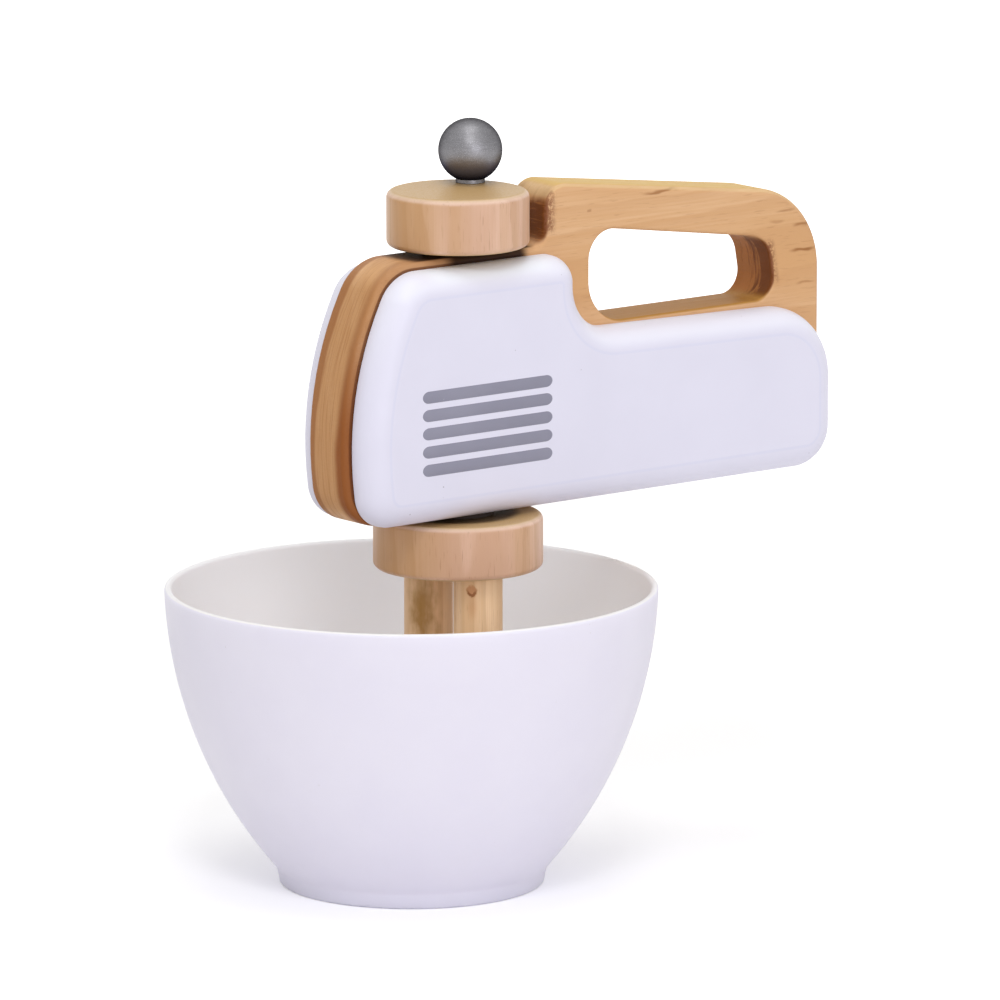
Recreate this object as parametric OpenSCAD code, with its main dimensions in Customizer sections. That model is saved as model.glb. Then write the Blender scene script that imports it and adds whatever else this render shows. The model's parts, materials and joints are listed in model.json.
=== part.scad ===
// Wooden toy hand mixer standing in its mixing bowl.
// Millimetres, +Z up, origin at the centre of the bowl's foot.
// +X runs along the body from the nose to the grip. The left side of the body faces -Y.

/* [Bowl] */
// Outer diameter at the mouth
bowl_mouth_d = 151.6; // [140:0.2:170]
// Height from the table to the lip
bowl_h = 92.5; // [84:0.5:110]
// How far above the lip the curved side would stand upright
bowl_lean_h = 3.7; // [0:0.1:12]
// Thickness of the side
bowl_wall = 2; // [1.6:0.1:3]
// Thickness of the floor
bowl_floor = 2.2; // [1.6:0.1:3]
// Rounding inside, between the floor and the side
bowl_floor_r = 2; // [1:0.1:2.5]
// Diameter of the rounded bead along the lip
bowl_lip_d = 2.2; // [2:0.1:4]
// Diameter of the foot on the table
foot_d = 81.4; // [80:0.2:96]
// Height of the foot's step
foot_h = 5; // [4:0.5:9]
// How much wider the foot is at its top than on the table
foot_flare = 2; // [0.4:0.1:4]

/* [Place in the bowl] */
// Shaft axis, along the body, from the middle of the bowl
shaft_x = 4.8; // [-6:0.1:6]
// Shaft axis, across the body, from the middle of the bowl
shaft_y = -17; // [-17.4:0.1:0]
// Gap under the beaters, which stand on the bowl's floor
stand_gap = 0.3; // [0.2:0.1:0.8]

/* [Board with the grip] */
// Thickness of the middle board
board_t = 18; // [16:0.5:24]
// Rounding of the board's outer edges
board_edge_r = 2; // [1.5:0.1:3.5]
// Rounding of the finger hole's edges
hole_edge_r = 1.2; // [0.6:0.1:2]
// How far the board stands out past the panels at the nose and on top
reveal = 2.5; // [1:0.1:4]
// How far the board stands out past the panels at the back
back_reveal = 0.4; // [0:0.1:3]
// Front face of the post, behind the shaft axis
post_x = 27; // [25.5:0.1:32]
// Width of the front post
post_w = 17.4; // [14:0.1:22]
// Width of the rear post at its foot
rear_post_w = 17.7; // [15:0.1:24]
// Height of the grip's top at the post, above the underside
grip_front_h = 98.7; // [94:0.1:110]
// Height of the grip's top at the back, before rounding
grip_back_h = 85.2; // [80:0.1:94]
// Thickness of the grip over the front of the finger hole
grip_bar_front = 13.5; // [10:0.1:17]
// Thickness of the grip over the back of the finger hole
grip_bar_back = 15; // [10:0.1:18]
// Height of the finger hole's sill above the panel's tail
sill_h = 0.4; // [0.2:0.1:3]
// How far the finger hole's back leans forward at the top
hole_lean = 3.4; // [0:0.1:5]
// Rounding at the foot of the post
post_foot_r = 5; // [2:0.1:8]
// Rounding of the grip's front corner
grip_front_r = 7.5; // [3.6:0.1:9]
// Rounding of the grip's back corner
grip_back_r = 27; // [16:0.5:32]
// Rounding of the finger hole at the front, below
hole_front_foot_r = 13; // [6:0.5:14]
// Rounding of the finger hole at the front, above
hole_front_top_r = 9; // [6:0.5:12]
// Rounding of the finger hole at the back, above
hole_back_top_r = 9; // [5:0.5:11]
// Rounding of the finger hole at the back, below
hole_back_foot_r = 7; // [4:0.5:9]

/* [Side panels] */
// Thickness of one panel
panel_t = 10; // [9:0.5:14]
// Rounding of the panel's outer edge
panel_edge_r = 8; // [4:0.5:8.5]
// Reach of the nose ahead of the shaft axis, before rounding
nose_l = 51.3; // [46:0.1:60]
// Height at which the nose reaches furthest, before rounding
nose_bulge_h = 41.2; // [34:0.1:46]
// Set-back of the nose at the underside
nose_foot_back = 5.5; // [2:0.1:9]
// Set-back of the nose at the top
nose_brow_back = 18.3; // [12:0.1:24]
// Height of the panel at the nose
panel_front_h = 77; // [72:0.1:86]
// Back of the step in the panel's top, behind the shaft axis
step_x = 33.6; // [28:0.1:36]
// Height of the tail behind the step
tail_h = 52.9; // [48:0.1:56]
// How much lower the tail is at the back
tail_drop = 2.1; // [0:0.1:5]
// Reach of the tail behind the shaft axis
tail_l = 136; // [126:0.1:150]
// Rounding of the nose at the underside
nose_foot_r = 11; // [9:0.5:13]
// Rounding of the nose's bulge
nose_bulge_r = 98; // [60:1:99]
// Rounding of the nose at the top
nose_brow_r = 14; // [9:0.5:16]
// Rounding of the step's top corner
step_top_r = 8.8; // [8.6:0.1:9.4]
// Hollow rounding at the step's foot
step_foot_r = 14.5; // [8:0.5:14.5]
// Rounding of the tail at the top
tail_top_r = 23; // [14:0.5:26]
// Rounding of the tail at the underside
tail_foot_r = 13; // [9:0.5:18]

/* [Shaft and crank] */
// Diameter of the shaft
shaft_d = 10; // [8:0.5:11]
// Running clearance of the shaft in the board, on the radius
shaft_fit = 0.08; // [0.05:0.01:0.1]
// Room for glue round a seated peg, on the radius
glue_gap = 0.05; // [0.03:0.01:0.1]
// Diameter of the crank disc
disc_d = 43.5; // [40:0.1:46]
// Thickness of the crank disc
disc_t = 17.1; // [14:0.1:22]
// Wood left over the shaft's socket in the disc
disc_cap = 6; // [3:0.1:8]
// Rounding of the crank disc's upper edge
disc_rim_r = 1.2; // [0.6:0.1:3]
// Rounding of the crank disc's lower edge and of both edges of the head
disc_edge_r = 2; // [1:0.1:3]
// Diameter of the knob's ball
knob_d = 19.6; // [17:0.1:22]
// Distance of the knob from the shaft axis
knob_orbit = 15; // [12:0.1:16]
// Direction of the knob round the shaft, at rest
knob_angle = 37; // [-180:1:180]
// Diameter of the knob's neck under the ball
neck_d = 8.2; // [7:0.1:8.6]
// Diameter of the knob's neck on the disc
neck_foot_d = 9; // [8.7:0.1:10]
// Height of the ball's lowest point above the disc
neck_h = 0.1; // [0.1:0.1:4]
// Diameter of the knob's peg in the disc
peg_d = 6; // [5:0.1:7]
// Length of the knob's peg
peg_l = 9; // [6:0.1:11]
// Diameter of the washers
washer_d = 22; // [17:0.5:24]
// Thickness of one washer
washer_t = 1.4; // [0.5:0.1:2]
// Axial play at each washer
washer_play = 0.15; // [0.1:0.05:0.4]
// Room between a washer and the shaft, on the radius
washer_fit = 0.3; // [0.2:0.05:0.6]

/* [Beaters] */
// Diameter of the head that carries the beaters
head_d = 52; // [46:0.1:60]
// Thickness of the head
head_t = 16.6; // [15:0.1:22]
// Wood left between the shaft's socket and the beaters' sockets
head_web = 1.6; // [1:0.1:4]
// Diameter of a beater
beater_d = 15; // [12:0.1:15.4]
// Distance between the two beaters
beater_pitch = 24.4; // [20:0.1:25]
// How far the row of beaters sits ahead of the shaft axis
beater_lead = 1.9; // [0:0.1:2.5]
// Length of a beater below the head
beater_l = 98; // [80:0.1:120]
// Rounding of a beater's tip
beater_tip_r = 3; // [1:0.1:5]

/* [Hidden] */
$fa = 3;
$fs = 0.6;

// Degrees between the points along a rounded corner
arc_step = 7.5;
// Steps across a rounded edge
edge_steps = 5;
// How far a cutting shape runs past the face that it leaves
overrun = 0.05;
// Share of an edge that its two roundings may take up
rounded_share = 0.99;

// Colours of the finishes
bowl_white = [0.90, 0.90, 0.92];
paint_white = [0.93, 0.92, 0.95];
pine = [0.80, 0.60, 0.38];
beech = [0.88, 0.72, 0.56];
knob_grey = [0.52, 0.52, 0.56];
fibre = [0.25, 0.20, 0.17];

// Section of the bowl's side: one arc from the top of the foot, nearly upright at the lip
mouth_r = bowl_mouth_d / 2;
foot_top_r = (foot_d + foot_flare) / 2;
side_z = bowl_h + bowl_lean_h;
side_run = mouth_r - foot_top_r;
side_rise = side_z - foot_h;
side_r = (side_rise * side_rise + side_run * side_run) / (2 * side_run);
side_x = mouth_r - side_r;
inner_r = side_r - bowl_wall;
lip_r = bowl_lip_d / 2;
lip_z = bowl_h - lip_r;
function side_at(r, z) = side_x + sqrt(r * r - (side_z - z) * (side_z - z));
well_r = side_at(inner_r, foot_h);
floor_fillet_r = min(bowl_floor_r, foot_h - bowl_floor);

// Heights of what stands on the bowl's floor
tip_z = bowl_floor + stand_gap;
head_z = tip_z + beater_l;
washer_room = washer_t + washer_play;
body_z = head_z + head_t + washer_room;
board_top = panel_front_h + reveal;
disc_z = body_z + board_top + washer_room;
socket_l = (head_t - head_web) / 2;
shaft_z = head_z + head_t - socket_l;
shaft_l = disc_z + disc_t - disc_cap - shaft_z;

// Outlines are lists of corners [x, z, rounding], drawn counter-clockwise from the underside
step_foot_fit = min(step_foot_r, panel_front_h - tail_h - step_top_r);
panel_corners = [
    [tail_l, 0, tail_foot_r],
    [tail_l, tail_h - tail_drop, tail_top_r],
    [step_x, tail_h, step_foot_fit],
    [step_x, panel_front_h, step_top_r],
    [nose_brow_back - nose_l, panel_front_h, nose_brow_r],
    [-nose_l, nose_bulge_h, nose_bulge_r],
    [nose_foot_back - nose_l, 0, nose_foot_r]
];
board_back = tail_l + back_reveal;
board_corners = [
    [board_back, 0, tail_foot_r + back_reveal],
    [board_back, grip_back_h, grip_back_r],
    [post_x, grip_front_h, grip_front_r],
    [post_x, board_top, post_foot_r],
    moved_corner(panel_corners, 4, reveal, reveal),
    moved_corner(panel_corners, 5, reveal, reveal),
    moved_corner(panel_corners, 6, reveal, 0)
];
hole_front = post_x + post_w;
hole_back = board_back - rear_post_w;
hole_back_top = hole_back - hole_lean;
hole_sill = tail_h + sill_h;
grip_fall = (grip_front_h - grip_back_h) / (board_back - post_x);
function grip_top(x) = grip_front_h - grip_fall * (x - post_x);
hole_corners = [
    [hole_back, hole_sill, hole_back_foot_r],
    [hole_back_top, grip_top(hole_back_top) - grip_bar_back, hole_back_top_r],
    [hole_front, grip_top(hole_front) - grip_bar_front, hole_front_top_r],
    [hole_front, hole_sill, hole_front_foot_r]
];

// Rings [height, inset] across an edge of rounding r, from the side up to the face.
// The solid narrows towards the face where inward is 1, and a cutting shape widens where it is -1.
function edge_rings(face, r, inward) =
    [
        for (i = [0:edge_steps])
            let (a = 90 * i / edge_steps)
            [face - r * (1 - sin(a)), inward * r * (1 - cos(a))]
    ];
panel_rings = concat([[0, 0]], edge_rings(panel_t, panel_edge_r, 1));
board_half = edge_rings(board_t / 2, board_edge_r, 1);
hole_rings = edge_rings(board_t / 2, hole_edge_r, -1);
hole_half = [for (i = [0:edge_steps]) i < edge_steps ? hole_rings[i] : hole_rings[i] + [overrun, 0]];

// Plane geometry of rounded outlines
function flat(p) = [p.x, p.y];
function unit(v) = v / norm(v);
function turned(v, a) = [v.x * cos(a) - v.y * sin(a), v.x * sin(a) + v.y * cos(a)];
function edge_normal(a, b) = let (d = unit(b - a)) [d.y, -d.x];
function turn_at(a, b, c) = atan2(cross(b - a, c - b), (b - a) * (c - b));

// The corners before and after corner i, and the angle turned there
function before(corners, i) = flat(corners[(i + len(corners) - 1) % len(corners)]);
function after(corners, i) = flat(corners[(i + 1) % len(corners)]);
function corner_turn(corners, i) = turn_at(before(corners, i), flat(corners[i]), after(corners, i));

// Corner i with the edge before it moved out by d0 and the edge after it by d1
function moved_corner(corners, i, d0, d1) =
    let (
        b = flat(corners[i]),
        n0 = edge_normal(before(corners, i), b),
        n1 = edge_normal(b, after(corners, i)),
        shift = [d0 * n1.y - d1 * n0.y, d1 * n0.x - d0 * n1.x] / cross(n0, n1)
    )
    [b.x + shift.x, b.y + shift.y, corners[i].z + d0];

// Share of its two roundings that the edge after corner i has room for
function edge_room(corners, i) =
    let (
        j = (i + 1) % len(corners),
        taken = corners[i].z * tan(abs(corner_turn(corners, i)) / 2)
              + corners[j].z * tan(abs(corner_turn(corners, j)) / 2)
    )
    min(1, rounded_share * norm(flat(corners[j]) - flat(corners[i])) / taken);

function fitted_r(corners, i) =
    let (n = len(corners))
    corners[i].z * min(edge_room(corners, (i + n - 1) % n), edge_room(corners, i));

// Points round corner i, each with its outward normal
function rounded_corner(corners, i) =
    let (
        b = flat(corners[i]),
        r = fitted_r(corners, i),
        turn = corner_turn(corners, i),
        side = sign(turn),
        n0 = edge_normal(before(corners, i), b),
        n1 = edge_normal(b, after(corners, i)),
        centre = b - side * unit(n0 + n1) * r / cos(turn / 2),
        steps = max(2, ceil(abs(turn) / arc_step))
    )
    [for (k = [0:steps]) let (n = turned(n0, turn * k / steps)) [centre + side * r * n, n]];

function outline(corners) = [for (i = [0:len(corners) - 1]) each rounded_corner(corners, i)];

// Both halves of a section that is the same on each side of the board's middle
function both_sides(half) =
    let (n = len(half))
    concat([for (i = [n - 1:-1:0]) [-half[i][0], half[i][1]]], half);

// Solid through rings of one outline
module slab(corners, rings) {
    path = outline(corners);
    n = len(path);
    top = len(rings) - 1;
    points = [for (ring = rings) for (p = path) let (q = p[0] - ring[1] * p[1]) [q.x, q.y, ring[0]]];
    sides = [
        for (k = [0:top - 1]) for (i = [0:n - 1]) let (j = (i + 1) % n)
            [k * n + i, (k + 1) * n + i, (k + 1) * n + j, k * n + j]
    ];
    foot_face = [for (i = [0:n - 1]) i];
    top_face = [for (i = [n - 1:-1:0]) top * n + i];
    polyhedron(points, concat([foot_face], sides, [top_face]));
}

// Outer half of a round edge, in the section of a turned piece
module edge_round(r) {
    intersection() {
        circle(r);
        translate([-r / 2, -r]) square(2 * r);
    }
}

// Section of a turned piece of radius r from z = 0 up to h, with its lower edge rounded by e
module round_foot(r, h, e) {
    square([r - e, h]);
    translate([0, e]) square([r, h - e]);
    translate([r - e, e]) edge_round(e);
}

// Turned disc standing on z = 0, with its edges rounded below and above
module turned_disc(d, t, foot_r, rim_r) {
    rotate_extrude() {
        round_foot(d / 2, t - rim_r, foot_r);
        square([d / 2 - rim_r, t]);
        translate([d / 2 - rim_r, t - rim_r]) edge_round(rim_r);
    }
}

// Places what belongs to the body: the shaft axis and the underside meet at its origin
module at_body() { translate([shaft_x, shaft_y, body_z]) children(); }

// Places what turns with the shaft
module at_shaft(z) { translate([shaft_x, shaft_y, z]) children(); }

// Stands an outline drawn in x and z upright, with its height towards the left side
module upright() { rotate([90, 0, 0]) children(); }

module mixing_bowl() {
    color(bowl_white) rotate_extrude() difference() {
        union() {
            intersection() {
                translate([side_x, side_z]) circle(side_r);
                translate([0, foot_h / 2]) square([mouth_r, lip_z - foot_h / 2]);
            }
            polygon([[0, 0], [foot_d / 2, 0], [foot_top_r, foot_h], [0, foot_h]]);
            translate([side_at(side_r, lip_z) - lip_r, lip_z]) circle(lip_r);
        }
        intersection() {
            translate([side_x, side_z]) circle(inner_r);
            translate([0, foot_h]) square([side_at(side_r, lip_z) - bowl_lip_d, bowl_h]);
        }
        translate([0, bowl_floor]) round_foot(well_r, foot_h, floor_fillet_r);
    }
}

module handle_board() {
    color(pine) at_body() difference() {
        upright() slab(board_corners, both_sides(board_half));
        upright() slab(hole_corners, both_sides(hole_half));
        translate([0, 0, -overrun]) cylinder(h = board_top + 2 * overrun, d = shaft_d + 2 * shaft_fit);
    }
}

// Panel on the left side, seated on the board
module side_panel() {
    color(paint_white) translate([0, -board_t / 2, 0]) upright() slab(panel_corners, panel_rings);
}

module left_side_panel() { at_body() side_panel(); }

module right_side_panel() { at_body() mirror([0, 1, 0]) side_panel(); }

module drive_shaft() { color(beech) at_shaft(shaft_z) cylinder(h = shaft_l, d = shaft_d); }

// Places the knob's axis on the disc's top
module at_knob() {
    at_shaft(disc_z + disc_t) rotate([0, 0, knob_angle]) translate([knob_orbit, 0, 0]) children();
}

module crank_disc() {
    color(beech) difference() {
        at_shaft(disc_z) turned_disc(disc_d, disc_t, disc_edge_r, disc_rim_r);
        at_shaft(disc_z - overrun) cylinder(h = disc_t - disc_cap + overrun, d = shaft_d + 2 * glue_gap);
        at_knob() translate([0, 0, -peg_l]) cylinder(h = peg_l + overrun, d = peg_d + 2 * glue_gap);
    }
}

module crank_knob() {
    color(knob_grey) at_knob() {
        translate([0, 0, neck_h + knob_d / 2]) sphere(d = knob_d);
        cylinder(h = neck_h + knob_d / 4, d1 = neck_foot_d, d2 = neck_d);
        translate([0, 0, -peg_l]) cylinder(h = peg_l + neck_h, d = peg_d);
    }
}

module washer() {
    color(fibre) difference() {
        cylinder(h = washer_t, d = washer_d);
        translate([0, 0, -overrun]) cylinder(h = washer_t + 2 * overrun, d = shaft_d + 2 * washer_fit);
    }
}

module disc_washer() { at_shaft(body_z + board_top) washer(); }

module head_washer() { at_shaft(head_z + head_t) washer(); }

// Places one beater's axis at the head's underside, on the side given
module at_beater(side) {
    at_shaft(head_z) translate([-beater_lead, side * beater_pitch / 2, 0]) children();
}

module beater_head() {
    color(beech) difference() {
        at_shaft(head_z) turned_disc(head_d, head_t, disc_edge_r, disc_edge_r);
        at_shaft(shaft_z) cylinder(h = socket_l + overrun, d = shaft_d + 2 * glue_gap);
        for (side = [-1, 1]) at_beater(side) translate([0, 0, -overrun])
            cylinder(h = socket_l + overrun, d = beater_d + 2 * glue_gap);
    }
}

module beater(side) {
    color(pine) at_beater(side) translate([0, 0, -beater_l]) rotate_extrude()
        round_foot(beater_d / 2, beater_l + socket_l, beater_tip_r);
}

module left_beater() { beater(-1); }

module right_beater() { beater(1); }

mixing_bowl();
handle_board();
left_side_panel();
right_side_panel();
drive_shaft();
crank_disc();
crank_knob();
disc_washer();
head_washer();
beater_head();
left_beater();
right_beater();
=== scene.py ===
"""Looks of a wooden toy hand mixer that stands in its mixing bowl.

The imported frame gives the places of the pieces. Blender's objects are in metres. The sizes of the toy's
classes and finishes are in millimetres, as a toy maker writes them, and are turned into metres where a mesh
or a shader is made. The studio is set out in metres.
"""

import json
import logging
import math
from dataclasses import dataclass
from enum import Enum
from typing import Mapping, Sequence, Union

import bmesh
import bpy
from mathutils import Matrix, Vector


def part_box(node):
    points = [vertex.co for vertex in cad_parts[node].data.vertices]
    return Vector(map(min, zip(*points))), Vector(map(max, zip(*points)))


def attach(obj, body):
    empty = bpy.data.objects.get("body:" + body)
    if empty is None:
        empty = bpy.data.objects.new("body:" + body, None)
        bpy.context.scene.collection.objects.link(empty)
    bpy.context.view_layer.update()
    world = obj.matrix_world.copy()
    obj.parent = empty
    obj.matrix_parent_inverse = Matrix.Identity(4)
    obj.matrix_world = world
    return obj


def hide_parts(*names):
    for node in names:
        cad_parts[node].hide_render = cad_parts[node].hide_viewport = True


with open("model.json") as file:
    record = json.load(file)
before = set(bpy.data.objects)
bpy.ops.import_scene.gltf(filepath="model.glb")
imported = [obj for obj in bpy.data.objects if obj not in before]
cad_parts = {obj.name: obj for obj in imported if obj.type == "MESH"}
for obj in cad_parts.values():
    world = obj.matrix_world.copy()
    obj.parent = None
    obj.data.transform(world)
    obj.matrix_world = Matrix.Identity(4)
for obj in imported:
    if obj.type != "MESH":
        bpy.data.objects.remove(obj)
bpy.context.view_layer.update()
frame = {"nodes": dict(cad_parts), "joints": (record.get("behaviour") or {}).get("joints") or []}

MM = 0.001
LOG = logging.getLogger("toy_mixer")

Colour = tuple[float, float, float, float]
Triple = tuple[float, float, float]
Point = tuple[float, float]
# Value at which a share is 0, then the value at which it is 1
Fade = tuple[float, float]
Ring = list[bmesh.types.BMVert]
Socket = bpy.types.NodeSocket
Sockets = Mapping[str, Socket]
Value = Union[float, Socket]
Tone = Union[Colour, Socket]
Arrow = Union[Triple, Socket]

WHITE: Colour = (1.0, 1.0, 1.0, 1.0)
EVEN: Triple = (1.0, 1.0, 1.0)
FLAT: Triple = (1.0, 1.0, 0.0)


class Body(Enum):
    """Bodies of the frame that a piece can ride on."""

    BOWL = "bowl"
    MIXER = "mixer_body"
    CRANK = "crank"


class Slot(Enum):
    """Material slots of the record."""

    BOWL = "bowl_plastic"
    BOARD = "board_wood"
    PANEL = "panel_paint"
    TURNED = "turned_wood"
    DOWEL = "dowel_wood"
    GREY = "knob_paint"
    WASHER = "washer_fibre"


class Side(Enum):
    """Sides of the mixer's body, as the sign of Y."""

    LEFT = -1
    RIGHT = 1

    def named(self, part: str) -> str:
        """Name of a part on this side."""
        return f"{self.name.lower()}_{part}"


class SocketEnd(Enum):
    """End of a turned disc at which its shaft's socket opens."""

    UNDERSIDE = "underside"
    TOP = "top"


class Grain(Enum):
    """Way that the grain of a piece runs, as the numbers of the axes along it and across it."""

    LEVEL = (0, 1, 2)
    UPRIGHT = (2, 0, 1)


def paint(red: int, green: int, blue: int) -> Colour:
    """Turns a colour as it shows on a screen into Blender's linear colour.

    Args:
        red: Red from 0 to 255.
        green: Green from 0 to 255.
        blue: Blue from 0 to 255.

    Returns:
        The linear colour with full alpha.
    """
    def linear(level: int) -> float:
        """Linear share of one level."""
        share = level / 255
        return share / 12.92 if share <= 0.04045 else ((share + 0.055) / 1.055) ** 2.4

    return linear(red), linear(green), linear(blue), 1.0


# Places in the frame

@dataclass(frozen=True)
class NodeBox:
    """Box of one node of the frame, in millimetres."""

    low: Vector
    high: Vector

    @classmethod
    def of(cls, node: str) -> "NodeBox":
        """Reads the box of a node."""
        low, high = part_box(node)
        return cls(low / MM, high / MM)

    @property
    def size(self) -> Vector:
        """Extents along X, Y and Z."""
        return self.high - self.low

    @property
    def foot(self) -> Vector:
        """Middle of the box's underside."""
        middle = (self.low + self.high) / 2
        return Vector((middle.x, middle.y, self.low.z))


def shaft_axis(z: float = 0.0) -> Vector:
    """Finds a point on the crank's axis.

    Args:
        z: Height of the point, in millimetres.

    Returns:
        The point, in millimetres.
    """
    joint = next(j for j in frame["joints"] if j["child"] == Body.CRANK.value)
    x, y, _ = joint["pos_m"]
    return Vector((x / MM, y / MM, z))


def body_origin() -> Vector:
    """Point where the crank's axis meets the underside of the body, in millimetres."""
    return shaft_axis(NodeBox.of("handle_board").low.z)


# Outlines and profiles

@dataclass(frozen=True)
class Corner:
    """Corner of an outline, with the radius that rounds it."""

    x: float
    z: float
    radius: float

    @property
    def place(self) -> Vector:
        """The corner before rounding."""
        return Vector((self.x, self.z))


@dataclass(frozen=True)
class EdgePoint:
    """Point on an outline with its outward normal."""

    place: Vector
    normal: Vector


@dataclass(frozen=True)
class Level:
    """Ring round a slab at one Y, drawn in from the outline by its inset."""

    y: float
    inset: float = 0.0

    def mirrored(self) -> "Level":
        """The same ring on the other side."""
        return Level(-self.y, self.inset)


@dataclass(frozen=True)
class Outline:
    """Closed outline with rounded corners, drawn counter-clockwise."""

    corners: Sequence[Corner]
    step: float = 3.0
    rounded_share: float = 0.99

    def _normals(self, i: int) -> tuple[Vector, Vector]:
        """Finds the outward normals of the edges at a corner.

        Args:
            i: Number of the corner.

        Returns:
            The normals of the edges before and after it.
        """
        here = self.corners[i].place
        before = here - self.corners[i - 1].place
        after = self.corners[(i + 1) % len(self.corners)].place - here
        return tuple(Vector((d.y, -d.x)).normalized() for d in (before, after))

    def turn(self, i: int) -> float:
        """Angle turned at corner i, positive at an outer corner, in radians."""
        n0, n1 = self._normals(i)
        return math.atan2(n0.x * n1.y - n0.y * n1.x, n0.dot(n1))

    def _room(self, i: int) -> float:
        """Finds how much of its two roundings an edge has room for.

        Args:
            i: Number of the corner before the edge.

        Returns:
            The share of their radii, 1 at most.
        """
        j = (i + 1) % len(self.corners)
        taken = sum(self.corners[k].radius * math.tan(abs(self.turn(k)) / 2) for k in (i, j))
        length = (self.corners[j].place - self.corners[i].place).length
        return min(1.0, self.rounded_share * length / taken)

    def moved(self, i: int, before: float, after: float) -> Corner:
        """Moves the two edges of a corner outward.

        Args:
            i: Number of the corner.
            before: How far the edge before it moves.
            after: How far the edge after it moves.

        Returns:
            The corner where the moved edges meet.
        """
        n0, n1 = self._normals(i)
        area = n0.x * n1.y - n0.y * n1.x
        shift = Vector((before * n1.y - after * n0.y, after * n0.x - before * n1.x)) / area
        corner = self.corners[i]
        return Corner(corner.x + shift.x, corner.z + shift.y, corner.radius + before)

    def points(self) -> list[EdgePoint]:
        """Draws the rounded outline.

        Returns:
            Points along it, each with its normal.
        """
        made = []
        for i, corner in enumerate(self.corners):
            radius = corner.radius * min(self._room(i - 1), self._room(i))
            n0, n1 = self._normals(i)
            turn = self.turn(i)
            side = math.copysign(1.0, turn)
            centre = corner.place - side * (n0 + n1).normalized() * radius / math.cos(turn / 2)
            steps = max(2, math.ceil(abs(math.degrees(turn)) / self.step))
            for k in range(steps + 1):
                angle = math.atan2(n0.y, n0.x) + turn * k / steps
                normal = Vector((math.cos(angle), math.sin(angle)))
                made.append(EdgePoint(centre + side * radius * normal, normal))
        return made


def arc(centre: Point, radius: float, start: float, end: float, steps: int) -> list[Point]:
    """Draws an arc.

    Args:
        centre: Centre of the arc.
        radius: Radius of the arc.
        start: Angle of its first point, in degrees.
        end: Angle of its last point, in degrees.
        steps: Number of steps between them.

    Returns:
        Points along it in order, both ends included.
    """
    angles = [math.radians(start + (end - start) * k / steps) for k in range(steps + 1)]
    return [(centre[0] + radius * math.cos(a), centre[1] + radius * math.sin(a)) for a in angles]


def filleted(before: Point, corner: Point, after: Point, radius: float, steps: int = 6) -> list[Point]:
    """Rounds one corner of a profile.

    Args:
        before: Point before the corner.
        corner: The corner itself.
        after: Point after the corner.
        radius: Radius of the rounding.
        steps: Number of steps along it.

    Returns:
        Points along the rounding, which take the corner's place.
    """
    here = Vector(corner)
    back = (Vector(before) - here).normalized()
    ahead = (Vector(after) - here).normalized()
    half = back.angle(ahead) / 2
    centre = here + (back + ahead).normalized() * radius / math.sin(half)
    start = here + back * radius / math.tan(half) - centre
    end = here + ahead * radius / math.tan(half) - centre
    turn = start.angle_signed(end)
    made = []
    for k in range(steps + 1):
        angle = math.atan2(start.y, start.x) - turn * k / steps
        made.append((centre.x + radius * math.cos(angle), centre.y + radius * math.sin(angle)))
    return made


# Meshes

SHARP_ANGLE = math.radians(35)
# Width of the narrow faces beside a rounding, which keep the shading of the flat face flat
SUPPORT = 0.35
# How far a drill runs past the face where it starts or comes out
OVERCUT = 1.0
ON_AXIS = 1e-6


def bridge(shape: bmesh.types.BMesh, ring: Ring, following: Ring) -> None:
    """Joins two closed rings of as many vertices with faces.

    Args:
        shape: Mesh that holds them.
        ring: Vertices of the first ring.
        following: Vertices of the second ring.
    """
    count = len(ring)
    for i in range(count):
        j = (i + 1) % count
        shape.faces.new((ring[i], ring[j], following[j], following[i]))


def slab_rings(
    shape: bmesh.types.BMesh, outline: Sequence[EdgePoint], levels: Sequence[Level]
) -> list[Ring]:
    """Builds the side of a slab through rings of one outline.

    Args:
        shape: Mesh that takes the faces.
        outline: Points of the outline, in X and Z.
        levels: The rings in order.

    Returns:
        The vertices of each ring.
    """
    rings = []
    for level in levels:
        ring = []
        for point in outline:
            place = point.place - level.inset * point.normal
            ring.append(shape.verts.new((place.x, level.y, place.y)))
        rings.append(ring)
    for ring, following in zip(rings, rings[1:]):
        bridge(shape, ring, following)
    return rings


def closed_slab(shape: bmesh.types.BMesh, outline: Sequence[EdgePoint], levels: Sequence[Level]) -> None:
    """Builds a slab through rings of one outline and closes its two faces.

    Args:
        shape: Mesh that takes the faces.
        outline: Points of the outline, in X and Z.
        levels: The rings in order.
    """
    rings = slab_rings(shape, outline, levels)
    for end in (0, -1):
        shape.faces.new(rings[end])


def revolved(profile: Sequence[Point], segments: int) -> bmesh.types.BMesh:
    """Turns a profile round the Z axis.

    Args:
        profile: Points of the profile as radius and height. It closes on itself if it doesn't end on
            the axis.
        segments: Number of steps in a full turn.

    Returns:
        The turned mesh.
    """
    shape = bmesh.new()
    angles = [2 * math.pi * k / segments for k in range(segments)]
    rings = []
    for radius, height in profile:
        if radius < ON_AXIS:
            rings.append([shape.verts.new((0.0, 0.0, height))])
            continue
        rings.append([shape.verts.new((radius * math.cos(a), radius * math.sin(a), height)) for a in angles])
    pairs = list(zip(rings, rings[1:]))
    if len(rings[0]) > 1 and len(rings[-1]) > 1:
        pairs.append((rings[-1], rings[0]))
    for ring, following in pairs:
        if len(ring) > 1 and len(following) > 1:
            bridge(shape, ring, following)
            continue
        pole, loop = (ring[0], following) if len(ring) == 1 else (following[0], ring)
        for i in range(segments):
            shape.faces.new((pole, loop[i], loop[(i + 1) % segments]))
    return shape


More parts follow.
